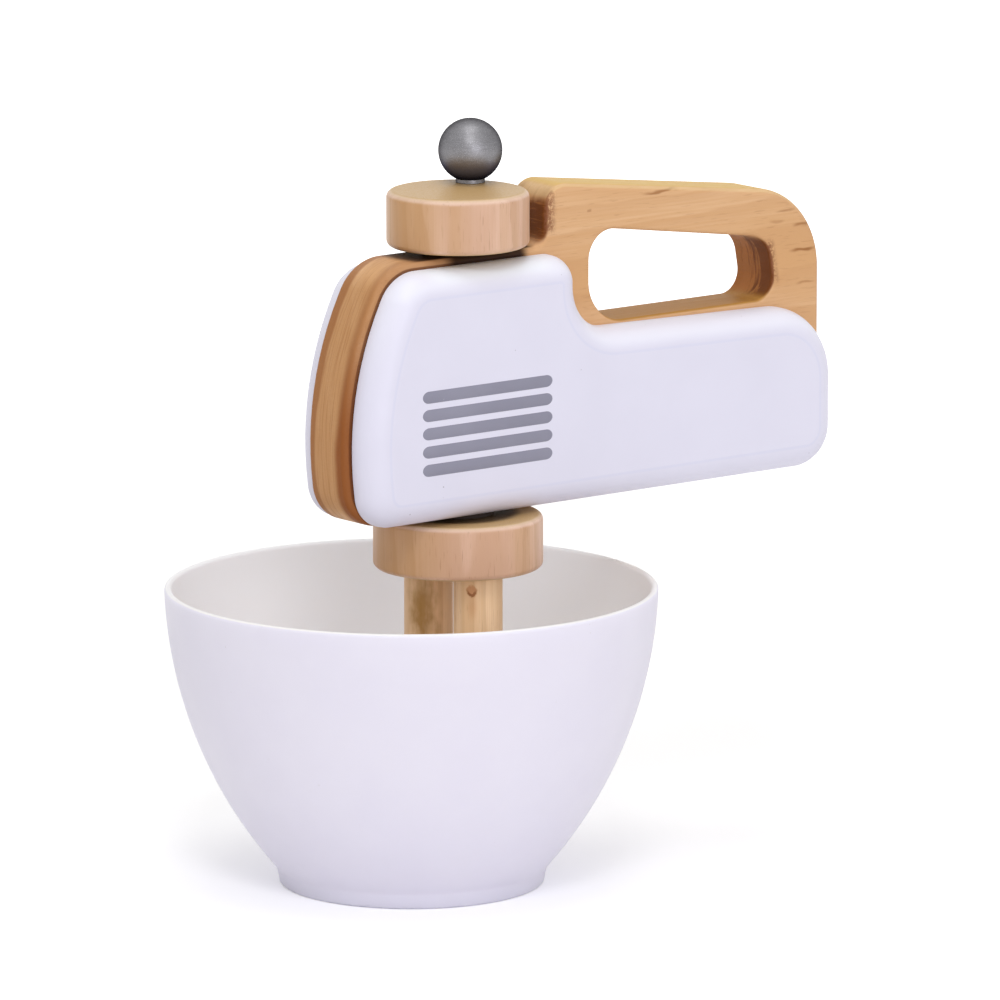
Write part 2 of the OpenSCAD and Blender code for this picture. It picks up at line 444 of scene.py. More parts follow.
def smooth(mesh: bpy.types.Mesh) -> None:
    """Shades a mesh smooth, apart from its sharp edges."""
    mesh.polygons.foreach_set("use_smooth", [True] * len(mesh.polygons))
    mesh.set_sharp_from_angle(angle=SHARP_ANGLE)


def as_object(shape: bmesh.types.BMesh, name: str, origin: Vector) -> bpy.types.Object:
    """Makes an object of a mesh that was drawn in millimetres.

    Args:
        shape: The mesh, which is freed.
        name: Name of the object.
        origin: Place of the mesh's origin in the frame, in millimetres.

    Returns:
        The object, with its place in its vertices.
    """
    bmesh.ops.recalc_face_normals(shape, faces=shape.faces)
    for vert in shape.verts:
        vert.co = (vert.co + origin) * MM
    mesh = bpy.data.meshes.new(name)
    shape.to_mesh(mesh)
    shape.free()
    smooth(mesh)
    made = bpy.data.objects.new(name, mesh)
    bpy.context.scene.collection.objects.link(made)
    return made


def turned(profile: Sequence[Point], segments: int, name: str, origin: Vector) -> bpy.types.Object:
    """Makes a turned object in its place, from the arguments of revolved and as_object."""
    return as_object(revolved(profile, segments), name, origin)


def drill(piece: bpy.types.Object, bits: Sequence[bpy.types.Object]) -> None:
    """Cuts holes in a piece and takes the drill bits away.

    Args:
        piece: Object that gets the holes.
        bits: Objects in the shape of the holes.
    """
    for bit in bits:
        cut = piece.modifiers.new(bit.name, "BOOLEAN")
        cut.operation = "DIFFERENCE"
        cut.solver = "EXACT"
        cut.object = bit
    drilled = bpy.data.meshes.new_from_object(piece.evaluated_get(bpy.context.evaluated_depsgraph_get()))
    piece.modifiers.clear()
    piece.data = drilled
    smooth(drilled)
    for bit in bits:
        bpy.data.objects.remove(bit)


def drill_bit(diameter: float, length: float, origin: Vector, segments: int = 64) -> bpy.types.Object:
    """Makes a round bar in the shape of a drilled hole.

    Args:
        diameter: Diameter of the hole.
        length: Length of the bar along Z.
        origin: Middle of its lower end, in millimetres.
        segments: Number of steps round it.

    Returns:
        The bar.
    """
    radius = diameter / 2
    profile = [(0.0, 0.0), (radius, 0.0), (radius, length), (0.0, length)]
    return turned(profile, segments, "drill_bit", origin)


# Shader nodes

# Numbers of the mix node's sockets for a share and two colours, whose names other sockets of it have too
MIX_INPUTS = (0, 6, 7)
MIX_OUTPUT = 2


@dataclass(frozen=True)
class Noise:
    """Soft noise, with its grains per unit of length along X, Y and Z and its finer layers."""

    grain: Triple
    detail: float = 2.0
    roughness: float = 0.5


class Graph:
    """Adds and links the nodes of one node tree."""

    def __init__(self, tree: bpy.types.NodeTree) -> None:
        """Keeps the tree that takes the nodes."""
        self.tree = tree

    def node(self, kind: str, **settings: object) -> bpy.types.Node:
        """Adds a node.

        Args:
            kind: Blender's name of the node type.
            **settings: Properties of the node.

        Returns:
            The node.
        """
        made = self.tree.nodes.new(kind)
        for name, value in settings.items():
            setattr(made, name, value)
        return made

    def feed(self, socket: Socket, value: object) -> None:
        """Links a socket to an output, or sets its value.

        Args:
            socket: Input socket.
            value: Output socket or plain value.
        """
        if isinstance(value, bpy.types.NodeSocket):
            self.tree.links.new(value, socket)
        else:
            socket.default_value = value

    def math(self, operation: str, first: Value, second: Value = 0.0) -> Socket:
        """Works out a value.

        Args:
            operation: Blender's name of the operation.
            first: First operand.
            second: Second operand, where the operation has one.

        Returns:
            The result.
        """
        made = self.node("ShaderNodeMath", operation=operation)
        self.feed(made.inputs[0], first)
        self.feed(made.inputs[1], second)
        return made.outputs[0]

    def either(self, first: Value, second: Value) -> Socket:
        """The larger of two shares."""
        return self.math("MAXIMUM", first, second)

    def every(self, *shares: Value) -> Socket:
        """Multiplies some shares.

        Args:
            *shares: The shares.

        Returns:
            Their product, which is 1 only where each of them is.
        """
        product = shares[0]
        for share in shares[1:]:
            product = self.math("MULTIPLY", product, share)
        return product

    def band(self, value: Value, low: float, high: float) -> Socket:
        """Rises smoothly from 0 to 1.

        Args:
            value: Value that is looked at.
            low: Value at which the result is 0.
            high: Value at which the result is 1, which may be less than low.

        Returns:
            The share from 0 to 1.
        """
        made = self.node("ShaderNodeMapRange", interpolation_type="SMOOTHSTEP")
        self.feed(made.inputs["Value"], value)
        self.feed(made.inputs["From Min"], min(low, high))
        self.feed(made.inputs["From Max"], max(low, high))
        self.feed(made.inputs["To Min"], 0.0 if low < high else 1.0)
        self.feed(made.inputs["To Max"], 1.0 if low < high else 0.0)
        return made.outputs["Result"]

    def mix(self, share: Value, first: Tone, second: Tone) -> Socket:
        """Mixes two colours.

        Args:
            share: Share of the second colour.
            first: First colour.
            second: Second colour.

        Returns:
            The mixed colour.
        """
        made = self.node("ShaderNodeMix", data_type="RGBA", blend_type="MIX")
        for number, value in zip(MIX_INPUTS, (share, first, second)):
            self.feed(made.inputs[number], value)
        return made.outputs[MIX_OUTPUT]

    def tint(self, colour: Socket, tone: Tone, *shares: Value) -> Socket:
        """Lays a tone over a colour, where every one of some shares lets it show."""
        return self.mix(self.every(*shares), colour, tone)

    def noise(self, place: Socket, kind: Noise) -> Socket:
        """Adds soft noise.

        Args:
            place: Point that is looked at.
            kind: Grain and finer layers of the noise.

        Returns:
            The noise, mostly from 0.25 to 0.75.
        """
        made = self.node("ShaderNodeTexNoise")
        self.feed(made.inputs["Vector"], self.vector("MULTIPLY", place, kind.grain))
        self.feed(made.inputs["Scale"], 1.0)
        self.feed(made.inputs["Detail"], kind.detail)
        self.feed(made.inputs["Roughness"], kind.roughness)
        return made.outputs[0]

    def swayed(self, value: Value, noise: Socket, reach: Value) -> Socket:
        """Moves a value up and down with a noise, by up to half of the reach."""
        return self.math("ADD", value, self.every(self.math("SUBTRACT", noise, 0.5), reach))

    def vector(self, operation: str, first: Arrow, second: Arrow = (0.0, 0.0, 0.0)) -> Socket:
        """Works out a vector, or its length or product.

        Args:
            operation: Blender's name of the operation.
            first: First vector.
            second: Second vector.

        Returns:
            The result.
        """
        made = self.node("ShaderNodeVectorMath", operation=operation)
        self.feed(made.inputs[0], first)
        self.feed(made.inputs[1], second)
        return made.outputs["Value"] if operation in ("LENGTH", "DOT_PRODUCT") else made.outputs[0]

    def scaled(self, vector: Socket, factor: Value) -> Socket:
        """Multiplies a vector by one factor.

        Args:
            vector: The vector.
            factor: The factor.

        Returns:
            The longer or shorter vector.
        """
        made = self.vector("SCALE", vector)
        self.feed(made.node.inputs["Scale"], factor)
        return made

    def axes(self, vector: Socket) -> tuple[Socket, Socket, Socket]:
        """Splits a vector.

        Args:
            vector: The vector.

        Returns:
            Its X, Y and Z.
        """
        made = self.node("ShaderNodeSeparateXYZ")
        self.feed(made.inputs[0], vector)
        return tuple(made.outputs)

    def joined(self, *values: Value) -> Socket:
        """Makes a vector.

        Args:
            *values: Its X, Y and Z, of which the last may be left out.

        Returns:
            The vector.
        """
        made = self.node("ShaderNodeCombineXYZ")
        for socket, value in zip(made.inputs, values):
            self.feed(socket, value)
        return made.outputs[0]

    def coordinates(self, kind: str) -> Socket:
        """Texture coordinates of one kind, such as Object or Normal."""
        return self.node("ShaderNodeTexCoord").outputs[kind]

    def millimetres(self, origin: Triple) -> Socket:
        """Place on the piece in millimetres, counted from a point of the frame."""
        return self.vector("SUBTRACT", self.scaled(self.coordinates("Object"), 1 / MM), origin)

    def facing(self) -> tuple[Socket, Socket, Socket]:
        """Direction that the surface faces on the piece itself, as X, Y and Z."""
        return self.axes(self.coordinates("Normal"))

    def from_axis(self, place: Socket) -> Socket:
        """Distance from the upright axis through the origin."""
        return self.vector("LENGTH", self.vector("MULTIPLY", place, FLAT))

    def offset(self, place: Socket, centre: Triple, size: Triple) -> Socket:
        """Place counted from a centre, as a share of a size along each axis."""
        shares = tuple(1 / side for side in size)
        return self.vector("MULTIPLY", self.vector("SUBTRACT", place, centre), shares)

    def group(self, tree: bpy.types.NodeTree, **values: object) -> Sockets:
        """Places a node group.

        Args:
            tree: The group.
            **values: Inputs by name, with _ for a space.

        Returns:
            The group's output sockets.
        """
        made = self.node("ShaderNodeGroup", node_tree=tree)
        for name, value in values.items():
            self.feed(made.inputs[name.replace("_", " ")], value)
        return made.outputs

    def bump(self, height: Socket, depth: float, strength: float) -> Socket:
        """Gives a surface fine relief.

        Args:
            height: Height of the relief from 0 to 1.
            depth: Depth of the relief in millimetres.
            strength: Share of the relief that shows.

        Returns:
            The surface's normal.
        """
        made = self.node("ShaderNodeBump")
        made.inputs["Strength"].default_value = strength
        made.inputs["Distance"].default_value = depth * MM
        self.feed(made.inputs["Height"], height)
        return made.outputs["Normal"]

    def seen_directly(self) -> Socket:
        """Tells the rays that show a surface from those that carry its light to the toy.

        Returns:
            1 for a ray that shows the surface, and 0 for one that carries light.
        """
        rays = self.node("ShaderNodeLightPath").outputs
        seen = self.either(rays["Is Camera Ray"], rays["Is Glossy Ray"])
        return self.either(seen, rays["Is Transmission Ray"])


class EffectGroup:
    """Shader node group that is built once and placed in several materials."""

    name = "effect"
    inputs: Sequence[tuple[str, str]] = ()
    outputs: Sequence[str] = ()

    def tree(self) -> bpy.types.NodeTree:
        """The group's tree, built at its first use."""
        known = bpy.data.node_groups.get(self.name)
        return known or self._new_tree()

    def _new_tree(self) -> bpy.types.NodeTree:
        """Builds the tree with its sockets and links what the effect puts out.

        Returns:
            The tree.
        """
        tree = bpy.data.node_groups.new(self.name, "ShaderNodeTree")
        for name, kind in self.inputs:
            tree.interface.new_socket(name=name, in_out="INPUT", socket_type=kind)
        for name in self.outputs:
            tree.interface.new_socket(name=name, in_out="OUTPUT", socket_type="NodeSocketFloat")
        graph = Graph(tree)
        source = graph.node("NodeGroupInput").outputs
        target = graph.node("NodeGroupOutput").inputs
        for name, value in self.effect(graph, source).items():
            graph.feed(target[name], value)
        return tree

    def effect(self, graph: Graph, source: Sockets) -> dict[str, Socket]:
        """Adds the effect's nodes.

        Args:
            graph: Graph of the group.
            source: The group's input sockets.

        Returns:
            What each output gets.
        """
        raise NotImplementedError


class Timber(EffectGroup):
    """Growth rings and fibres of wood whose grain runs along X, with its heart on the X axis."""

    name = "timber"
    inputs = (
        ("Place", "NodeSocketVector"), ("Ring Width", "NodeSocketFloat"), ("Wander", "NodeSocketFloat"),
    )
    outputs = ("Ring", "Tone", "Fibre", "Pores")
    drift: Noise = Noise((0.014, 0.045, 0.045), 3.0)
    years: Noise = Noise((0.37, 0.0, 0.0))
    fibres: Noise = Noise((0.035, 1.5, 1.5), 4.0, 0.6)
    pores: Noise = Noise((0.16, 2.6, 2.6), 1.0)
    late_starts: Fade = (0.25, 0.85)
    late_ends: Fade = (1.0, 0.9)
    spread: Fade = (0.3, 0.7)
    pore_edge: Fade = (0.63, 0.73)

    def effect(self, graph: Graph, source: Sockets) -> dict[str, Socket]:
        """Adds the nodes of the rings, their tones, the fibres and the pores.

        Args:
            graph: Graph of the group.
            source: The group's input sockets.

        Returns:
            What each output gets.
        """
        place = source["Place"]
        _, y, z = graph.axes(place)
        squares = graph.math("ADD", graph.every(y, y), graph.every(z, z))
        drift = graph.noise(place, self.drift)
        radius = graph.swayed(graph.math("SQRT", squares), drift, source["Wander"])
        years = graph.math("DIVIDE", radius, source["Ring Width"])
        season = graph.math("FRACT", years)
        tone = graph.noise(graph.joined(years), self.years)
        fibre = graph.noise(place, self.fibres)
        pore = graph.noise(place, self.pores)
        return {
            "Ring": graph.every(graph.band(season, *self.late_starts), graph.band(season, *self.late_ends)),
            "Tone": graph.band(tone, *self.spread),
            "Fibre": graph.band(fibre, *self.spread),
            "Pores": graph.band(pore, *self.pore_edge),
        }


class Streak(EffectGroup):
    """Dark streak in the wood, which runs along X on the faces that look sideways."""

    name = "wood_streak"
    inputs = (
        ("Place", "NodeSocketVector"), ("Centre X", "NodeSocketFloat"), ("Centre Z", "NodeSocketFloat"),
        ("Half Length", "NodeSocketFloat"), ("Half Height", "NodeSocketFloat"),
    )
    outputs = ("Mask",)
    sway: Noise = Noise((0.12, 0.1, 0.3))
    sway_reach: float = 2.4
    along_edge: Fade = (1.0, 0.3)
    across_edge: Fade = (1.0, 0.1)

    def effect(self, graph: Graph, source: Sockets) -> dict[str, Socket]:
        """Adds the nodes that fade the streak out along its length and across it.

        Args:
            graph: Graph of the group.
            source: The group's input sockets.

        Returns:
            What the output gets.
        """
        place = source["Place"]
        x, _, z = graph.axes(place)
        bent = graph.swayed(z, graph.noise(place, self.sway), self.sway_reach)
        from_x = graph.math("SUBTRACT", x, source["Centre X"])
        from_z = graph.math("SUBTRACT", bent, source["Centre Z"])
        along = graph.math("ABSOLUTE", graph.math("DIVIDE", from_x, source["Half Length"]))
        across = graph.math("ABSOLUTE", graph.math("DIVIDE", from_z, source["Half Height"]))
        length_share = graph.band(along, *self.along_edge)
        height_share = graph.band(across, *self.across_edge)
        return {"Mask": graph.every(length_share, height_share)}


class Relief(EffectGroup):
    """Fine relief and slow mottling of a painted or moulded surface."""

    name = "surface_relief"
    inputs = (("Place", "NodeSocketVector"), ("Grain", "NodeSocketFloat"))
    outputs = ("Height", "Mottle", "Specks")
    fine: Noise = Noise(EVEN, 3.0, 0.6)
    mottle: Noise = Noise((0.045, 0.045, 0.045), 3.0)
    mottle_edge: Fade = (0.3, 0.7)
    specks: Noise = Noise((0.9, 0.9, 0.9), 0.0)
    speck_edge: Fade = (0.9, 0.93)

    def effect(self, graph: Graph, source: Sockets) -> dict[str, Socket]:
        """Adds the nodes of the fine relief, the mottling and a few specks.

        Args:
            graph: Graph of the group.
            source: The group's input sockets.

        Returns:
            What each output gets.
        """
        place = source["Place"]
        fine = graph.scaled(place, graph.math("DIVIDE", 1.0, source["Grain"]))
        return {
            "Height": graph.noise(fine, self.fine),
            "Mottle": graph.band(graph.noise(place, self.mottle), *self.mottle_edge),
            "Specks": graph.band(graph.noise(place, self.specks), *self.speck_edge),
        }


# Marks in the wood, counted from the origin of the piece's finish

class WoodMark:
    """Mark that one piece of wood has."""

    def add(self, graph: Graph, place: Socket, colour: Socket) -> Socket:
        """Adds the mark.

        Args:
            graph: Graph of the material.
            place: Place on the piece in millimetres.
            colour: Colour of the wood so far.

        Returns:
            The colour with the mark.
        """
        raise NotImplementedError


@dataclass(frozen=True)
class GrowthBands(WoodMark):
    """Dark growth bands along the board's two faces, which show where the board is cut across, with painted
    light on the near band's upper part and a painted shade line in the seam by the left panel.
    """

    tone: Colour = paint(138, 76, 30)
    sway: Noise = Noise((0.02, 0.02, 0.03))
    sway_reach: float = 5.0
    near_y: Fade = (-3.4, -6.6)
    near_share: float = 0.92
    lit_z: Fade = (28.0, 72.0)
    lit_share: float = 0.55
    far_y: Fade = (4.2, 5.4)
    far_share: float = 0.6
    lines: Noise = Noise((0.1, 1.7, 0.05), 3.0)
    line_edge: Fade = (0.45, 0.7)
    line_share: float = 0.3
    nose_x: Fade = (20.0, 16.0)
    cut_facing: Fade = (0.3, 0.8)
    # Painted shade in the groove where the board meets the left panel
    seam_shade: Colour = paint(96, 52, 30)
    seam_shade_y: Fade = (-8.96, -9.0)
    seam_shade_share: float = 0.75

    def add(self, graph: Graph, place: Socket, colour: Socket) -> Socket:
        """Adds the bands, of which the near one is painted paler higher up where light falls on it, and the
        painted shade of the seam beside it.

        Args:
            graph: Graph of the material.
            place: Place on the board in millimetres.
            colour: Colour of the wood so far.

        Returns:
            The colour with the bands.
        """
        x, y, z = graph.axes(place)
        bent = graph.swayed(y, graph.noise(place, self.sway), self.sway_reach)
        lit = graph.every(graph.band(z, *self.lit_z), self.lit_share)
        unlit = graph.math("SUBTRACT", 1.0, lit)
        near = graph.every(graph.band(bent, *self.near_y), self.near_share, unlit)
        far = graph.every(graph.band(bent, *self.far_y), self.far_share)
        lines = graph.band(graph.noise(place, self.lines), *self.line_edge)
        dark = graph.either(graph.math("ADD", near, far), graph.every(lines, self.line_share))
        nose = graph.band(x, *self.nose_x)
        squarely = graph.math("ABSOLUTE", graph.facing()[0])
        across = graph.either(graph.band(squarely, *self.cut_facing), nose)
        colour = graph.tint(colour, self.tone, dark, across)
        # Painted shade along the seam beside the left panel
        return graph.tint(colour, self.seam_shade, graph.band(y, *self.seam_shade_y), nose, self.seam_shade_share)


@dataclass(frozen=True)
class WoodStreak(WoodMark):
    """One dark streak on the sides of the board."""

    x: float
    z: float
    length: float
    height: float
    share: float
    tone: Colour = paint(140, 84, 34)

    def add(self, graph: Graph, place: Socket, colour: Socket) -> Socket:
        """Adds the streak.

        Args:
            graph: Graph of the material.
            place: Place on the board in millimetres.
            colour: Colour of the wood so far.

        Returns:
            The colour with the streak.
        """
        streak = graph.group(
            Streak().tree(), Place=place, Centre_X=self.x, Centre_Z=self.z,
            Half_Length=self.length / 2, Half_Height=self.height / 2,
        )
        return graph.tint(colour, self.tone, streak["Mask"], self.share)


@dataclass(frozen=True)
class PaintedShadeUnderDisc(WoodMark):
    """Painted shade on the board's top under the crank disc, and in the gap beneath it."""

    # Colour of the painted shade under the disc
    tone: Colour = paint(34, 14, 9)
    top_z: Fade = (73.0, 76.0)
    ring_reach: Fade = (27.0, 22.0)
    ring_x: Fade = (24.0, 20.0)
    ring_facing: Fade = (0.75, 0.97)
    ring_shade_share: float = 0.9
    gap_front: Fade = (-13.5, -7.5)
    gap_back: Fade = (21.0, 17.0)
    gap_shade_share: float = 0.92

    def add(self, graph: Graph, place: Socket, colour: Socket) -> Socket:
        """Adds the painted shade: a dark ring on the top, and dark edges in the gap under the disc.

        Args:
            graph: Graph of the material.
            place: Place on the board in millimetres.
            colour: Colour of the wood so far.

        Returns:
            The colour with the painted shade.
        """
        x, _, z = graph.axes(place)
        high = graph.band(z, *self.top_z)
        reach = graph.band(graph.from_axis(place), *self.ring_reach)
        upward = graph.band(graph.facing()[2], *self.ring_facing)
        before_post = graph.band(x, *self.ring_x)
        # Painted shade in a ring on the top, round the shaft
        colour = graph.tint(colour, self.tone, reach, high, before_post, upward, self.ring_shade_share)
        front = graph.band(x, *self.gap_front)
        back = graph.band(x, *self.gap_back)
        # Painted shade on the edges in the gap under the disc
        return graph.tint(colour, self.tone, front, back, high, self.gap_shade_share)


@dataclass(frozen=True)
class GripAndSillTones(WoodMark):
    """Tones of the board's upper faces: painted shade on the finger hole's sill, a painted highlight on the
    grip's rounded upper edge, and a yellower flat top on the grip.
    """

    # Painted shade that the grip casts on the sill, in an olive tone
    sill: Colour = paint(173, 123, 42)
    sill_z: Fade = (62.0, 59.0)
    sill_facing: Fade = (0.3, 0.8)
    sill_shade_share: float = 0.8
    grip_fall: float = 0.124
    grip_level: Fade = (90.0, 93.0)
    # Painted highlight along the grip's rounded upper edge
    edge: Colour = paint(232, 208, 156)
    edge_facing: Fade = (0.35, 0.6)
    edge_highlight_share: float = 0.35
    top: Colour = paint(222, 188, 104)
    top_facing: Fade = (0.85, 0.98)
    top_share: float = 0.7

    def add(self, graph: Graph, place: Socket, colour: Socket) -> Socket:
        """Adds the painted shade of the sill, the painted highlight of the grip's rounded upper edge and the
        yellower tone of its top.

        Args:
            graph: Graph of the material.
            place: Place on the board in millimetres.
            colour: Colour of the wood so far.

        Returns:
            The colour with these tones.
        """
        x, _, z = graph.axes(place)
        upward = graph.facing()[2]
        low = graph.band(z, *self.sill_z)
        # Painted shade on the sill under the grip
        colour = graph.tint(colour, self.sill, graph.band(upward, *self.sill_facing), low, self.sill_shade_share)
        level = graph.math("ADD", z, graph.every(x, self.grip_fall))
        grip = graph.band(level, *self.grip_level)
        leaning = graph.band(upward, *self.edge_facing)
        not_flat = graph.band(upward, *reversed(self.top_facing))
        # Painted highlight on the grip's rounded upper edge
        colour = graph.tint(colour, self.edge, grip, leaning, not_flat, self.edge_highlight_share)
        return graph.tint(colour, self.top, grip, graph.band(upward, *self.top_facing), self.top_share)


@dataclass(frozen=True)
class ScorchedAndShadedWalls(WoodMark):
    """Walls that face the nose, darkened by scorch and by painted shade: the post behind the crank disc and
    the back of the finger hole.
    """

    # Browns of the scorch marks, deepened by painted shade on these walls
    dark: Colour = paint(108, 58, 22)
    pale: Colour = paint(172, 112, 60)
    share: float = 0.92
    facing: Fade = (-0.3, -0.75)
    behind_x: Fade = (20.0, 22.0)
    hole_x: Fade = (80.0, 85.0)
    hole_noise: Noise = Noise((0.2, 0.5, 0.06), 4.0, 0.65)
    hole_edge: Fade = (0.42, 0.62)
    hole_lean: float = -0.035
    post_noise: Noise = Noise((0.2, 0.12, 1.6), 4.0, 0.65)
    post_edge: Fade = (0.25, 0.5)
    post_foot: Fade = (78.5, 82.5)
    post_top: Fade = (94.0, 91.5)
    post_sway: float = 2.0

    def add(self, graph: Graph, place: Socket, colour: Socket) -> Socket:
        """Adds the scorch and the painted shade of the walls, in two browns.

        Args:
            graph: Graph of the material.
            place: Place on the board in millimetres.
            colour: Colour of the wood so far.

        Returns:
            The colour with the darkened walls.
        """
        x, y, z = graph.axes(place)
        in_hole = graph.band(x, *self.hole_x)
        upright = graph.noise(place, self.hole_noise)
        level = graph.noise(place, self.post_noise)
        to_left = graph.math("ADD", graph.every(y, self.hole_lean), upright)
        depth = graph.mix(in_hole, graph.band(level, *self.post_edge), graph.band(to_left, *self.hole_edge))
        ragged = graph.swayed(z, upright, self.post_sway)
        on_post = graph.every(graph.band(z, *self.post_foot), graph.band(ragged, *self.post_top))
        wall = graph.band(graph.facing()[0], *self.facing)
        behind = graph.band(x, *self.behind_x)
        ink = graph.mix(depth, self.pale, self.dark)
        # Scorch with painted shade on the walls that face the nose
        return graph.tint(colour, ink, wall, behind, graph.either(in_hole, on_post), self.share)


@dataclass(frozen=True)
class Smear(WoodMark):
    """Fuzzy scorch mark on the board's left face, behind a line that leans from x at from_z."""

    x: float
    lean: float
    reach: float
    low: float
    high: float
    from_z: float = 53.3
    tone: Colour = paint(134, 84, 58)
    share: float = 0.85
    full_to: float = 0.2
    before_line: Fade = (-2.5, -1.0)
    end_fade: float = 3.0
    facing: Fade = (-0.3, -0.6)
    fuzz: Noise = Noise((0.9, 0.9, 0.7), 3.0, 0.7)
    fuzz_edge: Fade = (0.35, 0.57)

    def add(self, graph: Graph, place: Socket, colour: Socket) -> Socket:
        """Adds the smear, which fades out behind its line and at both ends.

        Args:
            graph: Graph of the material.
            place: Place on the board in millimetres.
            colour: Colour of the wood so far.

        Returns:
            The colour with the smear.
        """
        x, _, z = graph.axes(place)
        rise = graph.every(graph.math("SUBTRACT", z, self.from_z), self.lean)
        past = graph.math("SUBTRACT", graph.math("SUBTRACT", x, self.x), rise)
        across = graph.every(graph.band(past, self.reach, self.full_to), graph.band(past, *self.before_line))
        above = graph.band(z, self.low, self.low + self.end_fade)
        below = graph.band(z, self.high, self.high - self.end_fade)
        fuzz = graph.band(graph.noise(place, self.fuzz), *self.fuzz_edge)
        left = graph.band(graph.facing()[1], *self.facing)
        return graph.tint(colour, self.tone, across, fuzz, above, below, left, self.share)


@dataclass(frozen=True)
class TurnedTones(WoodMark):
    """Tones of the turned discs: golden patches of the wood and painted shade on the side facing -X, a
    painted highlight on the upper rim, and the body's painted shadow on the head's top.
    """

    # Golden tone, which is the wood's own in the patches and painted shade on the faces that look along -X
    golden: Colour = paint(186, 138, 72)
    golden_share: float = 0.6
    shaded_facing: Fade = (-0.6, -1.0)
    patches: Noise = Noise((0.11, 0.11, 0.005), 1.0)
    patch_edge: Fade = (0.45, 0.8)
    patch_facing: Fade = (0.4, 0.1)
    patch_share: float = 0.6
    # Painted highlight along the upper rim
    rim: Colour = paint(255, 234, 218)
    rim_highlight_share: float = 0.28
    rim_highlight_starts: Fade = (0.2, 0.6)
    rim_highlight_ends: Fade = (0.99, 0.85)
    # Painted shadow that the body casts on the head's top
    body_shadow: Colour = paint(46, 30, 24)
    body_shadow_reach: Fade = (20.0, 16.0)
    body_shadow_z: Fade = (140.0, 135.0)
    body_shadow_facing: Fade = (0.5, 0.9)
    body_shadow_share: float = 0.85

    def add(self, graph: Graph, place: Socket, colour: Socket) -> Socket:
        """Adds the golden patches and the painted shade of the side facing -X, the painted highlight of the
        upper rim and the painted shadow on the head's top.

        Args:
            graph: Graph of the material.
            place: Place on the disc in millimetres.
            colour: Colour of the wood so far.

        Returns:
            The colour with the tones.
        """
        forward, _, upward = graph.facing()
        patches = graph.band(graph.noise(place, self.patches), *self.patch_edge)
        patchy = graph.every(patches, graph.band(upward, *self.patch_facing), self.patch_share)
        # Painted shade on the side facing -X, and golden patches of the wood
        side = graph.either(graph.band(forward, *self.shaded_facing), patchy)
        colour = graph.tint(colour, self.golden, side, self.golden_share)
        rim = graph.every(graph.band(upward, *self.rim_highlight_starts), graph.band(upward, *self.rim_highlight_ends))
        # Painted highlight on the upper rim
        colour = graph.tint(colour, self.rim, rim, self.rim_highlight_share)
        reach = graph.band(graph.from_axis(place), *self.body_shadow_reach)
        low = graph.band(graph.axes(place)[2], *self.body_shadow_z)
        flat = graph.band(upward, *self.body_shadow_facing)
        # Painted shadow that the body casts on the head's top
        return graph.tint(colour, self.body_shadow, reach, low, flat, self.body_shadow_share)


@dataclass(frozen=True)
class Knot(WoodMark):
    """Small knot in a dowel."""

    centre: Triple
    size: Triple = (1.9, 1.9, 2.2)
    edge: Fade = (1.5, 1.1)
    share: float = 0.75
    heart: Colour = paint(196, 132, 84)
    rim: Colour = paint(140, 82, 44)
    sway: Noise = Noise((0.9, 0.9, 0.7))
    sway_reach: float = 0.9
    curls: float = 7.5
    curl_edge: Fade = (-0.2, 0.7)
    hook_edge: Fade = (0.35, -0.35)
    tail_drop: float = 5.0
    tail_size: Triple = (2.28, 2.28, 5.28)
    tail_edge: Fade = (1.0, 0.1)
    tail_share: float = 0.35

    def add(self, graph: Graph, place: Socket, colour: Socket) -> Socket:
        """Adds the reddish tail under the knot, its heart and its curled rim.

        Args:
            graph: Graph of the material.
            place: Place on the dowel in millimetres.
            colour: Colour of the wood so far.

        Returns:
            The colour with the knot.
        """
        x, y, z = self.centre
        drop = graph.offset(place, (x, y, z - self.tail_drop), self.tail_size)
        tail = graph.band(graph.vector("LENGTH", drop), *self.tail_edge)
        colour = graph.tint(colour, self.heart, tail, self.tail_share)
        offset = graph.offset(place, self.centre, self.size)
        sway = graph.every(graph.noise(place, self.sway), self.sway_reach)
        reach = graph.math("ADD", graph.vector("LENGTH", offset), sway)
        inside = graph.band(reach, *self.edge)
        colour = graph.tint(colour, self.heart, inside, self.share)
        curl = graph.band(graph.math("SINE", graph.every(reach, self.curls)), *self.curl_edge)
        hook = graph.band(graph.axes(offset)[2], *self.hook_edge)
        return graph.tint(colour, self.rim, inside, curl, hook, self.share)


@dataclass(frozen=True)
class Stain(WoodMark):
    """Soft brownish stain on a dowel."""

    centre: Triple
    size: Triple = (6.0, 6.0, 14.0)
    edge: Fade = (1.6, 0.6)
    tone: Colour = paint(150, 105, 28)
    share: float = 0.8
    sway: Noise = Noise((0.35, 0.35, 0.2), 3.0)

    def add(self, graph: Graph, place: Socket, colour: Socket) -> Socket:
        """Adds the stain.

        Args:
            graph: Graph of the material.
            place: Place on the dowel in millimetres.
            colour: Colour of the wood so far.

        Returns:
            The colour with the stain.
        """
        offset = graph.offset(place, self.centre, self.size)
        sway = graph.noise(place, self.sway)
        reach = graph.math("ADD", graph.vector("LENGTH", offset), sway)
        return graph.tint(colour, self.tone, graph.band(reach, *self.edge), self.share)


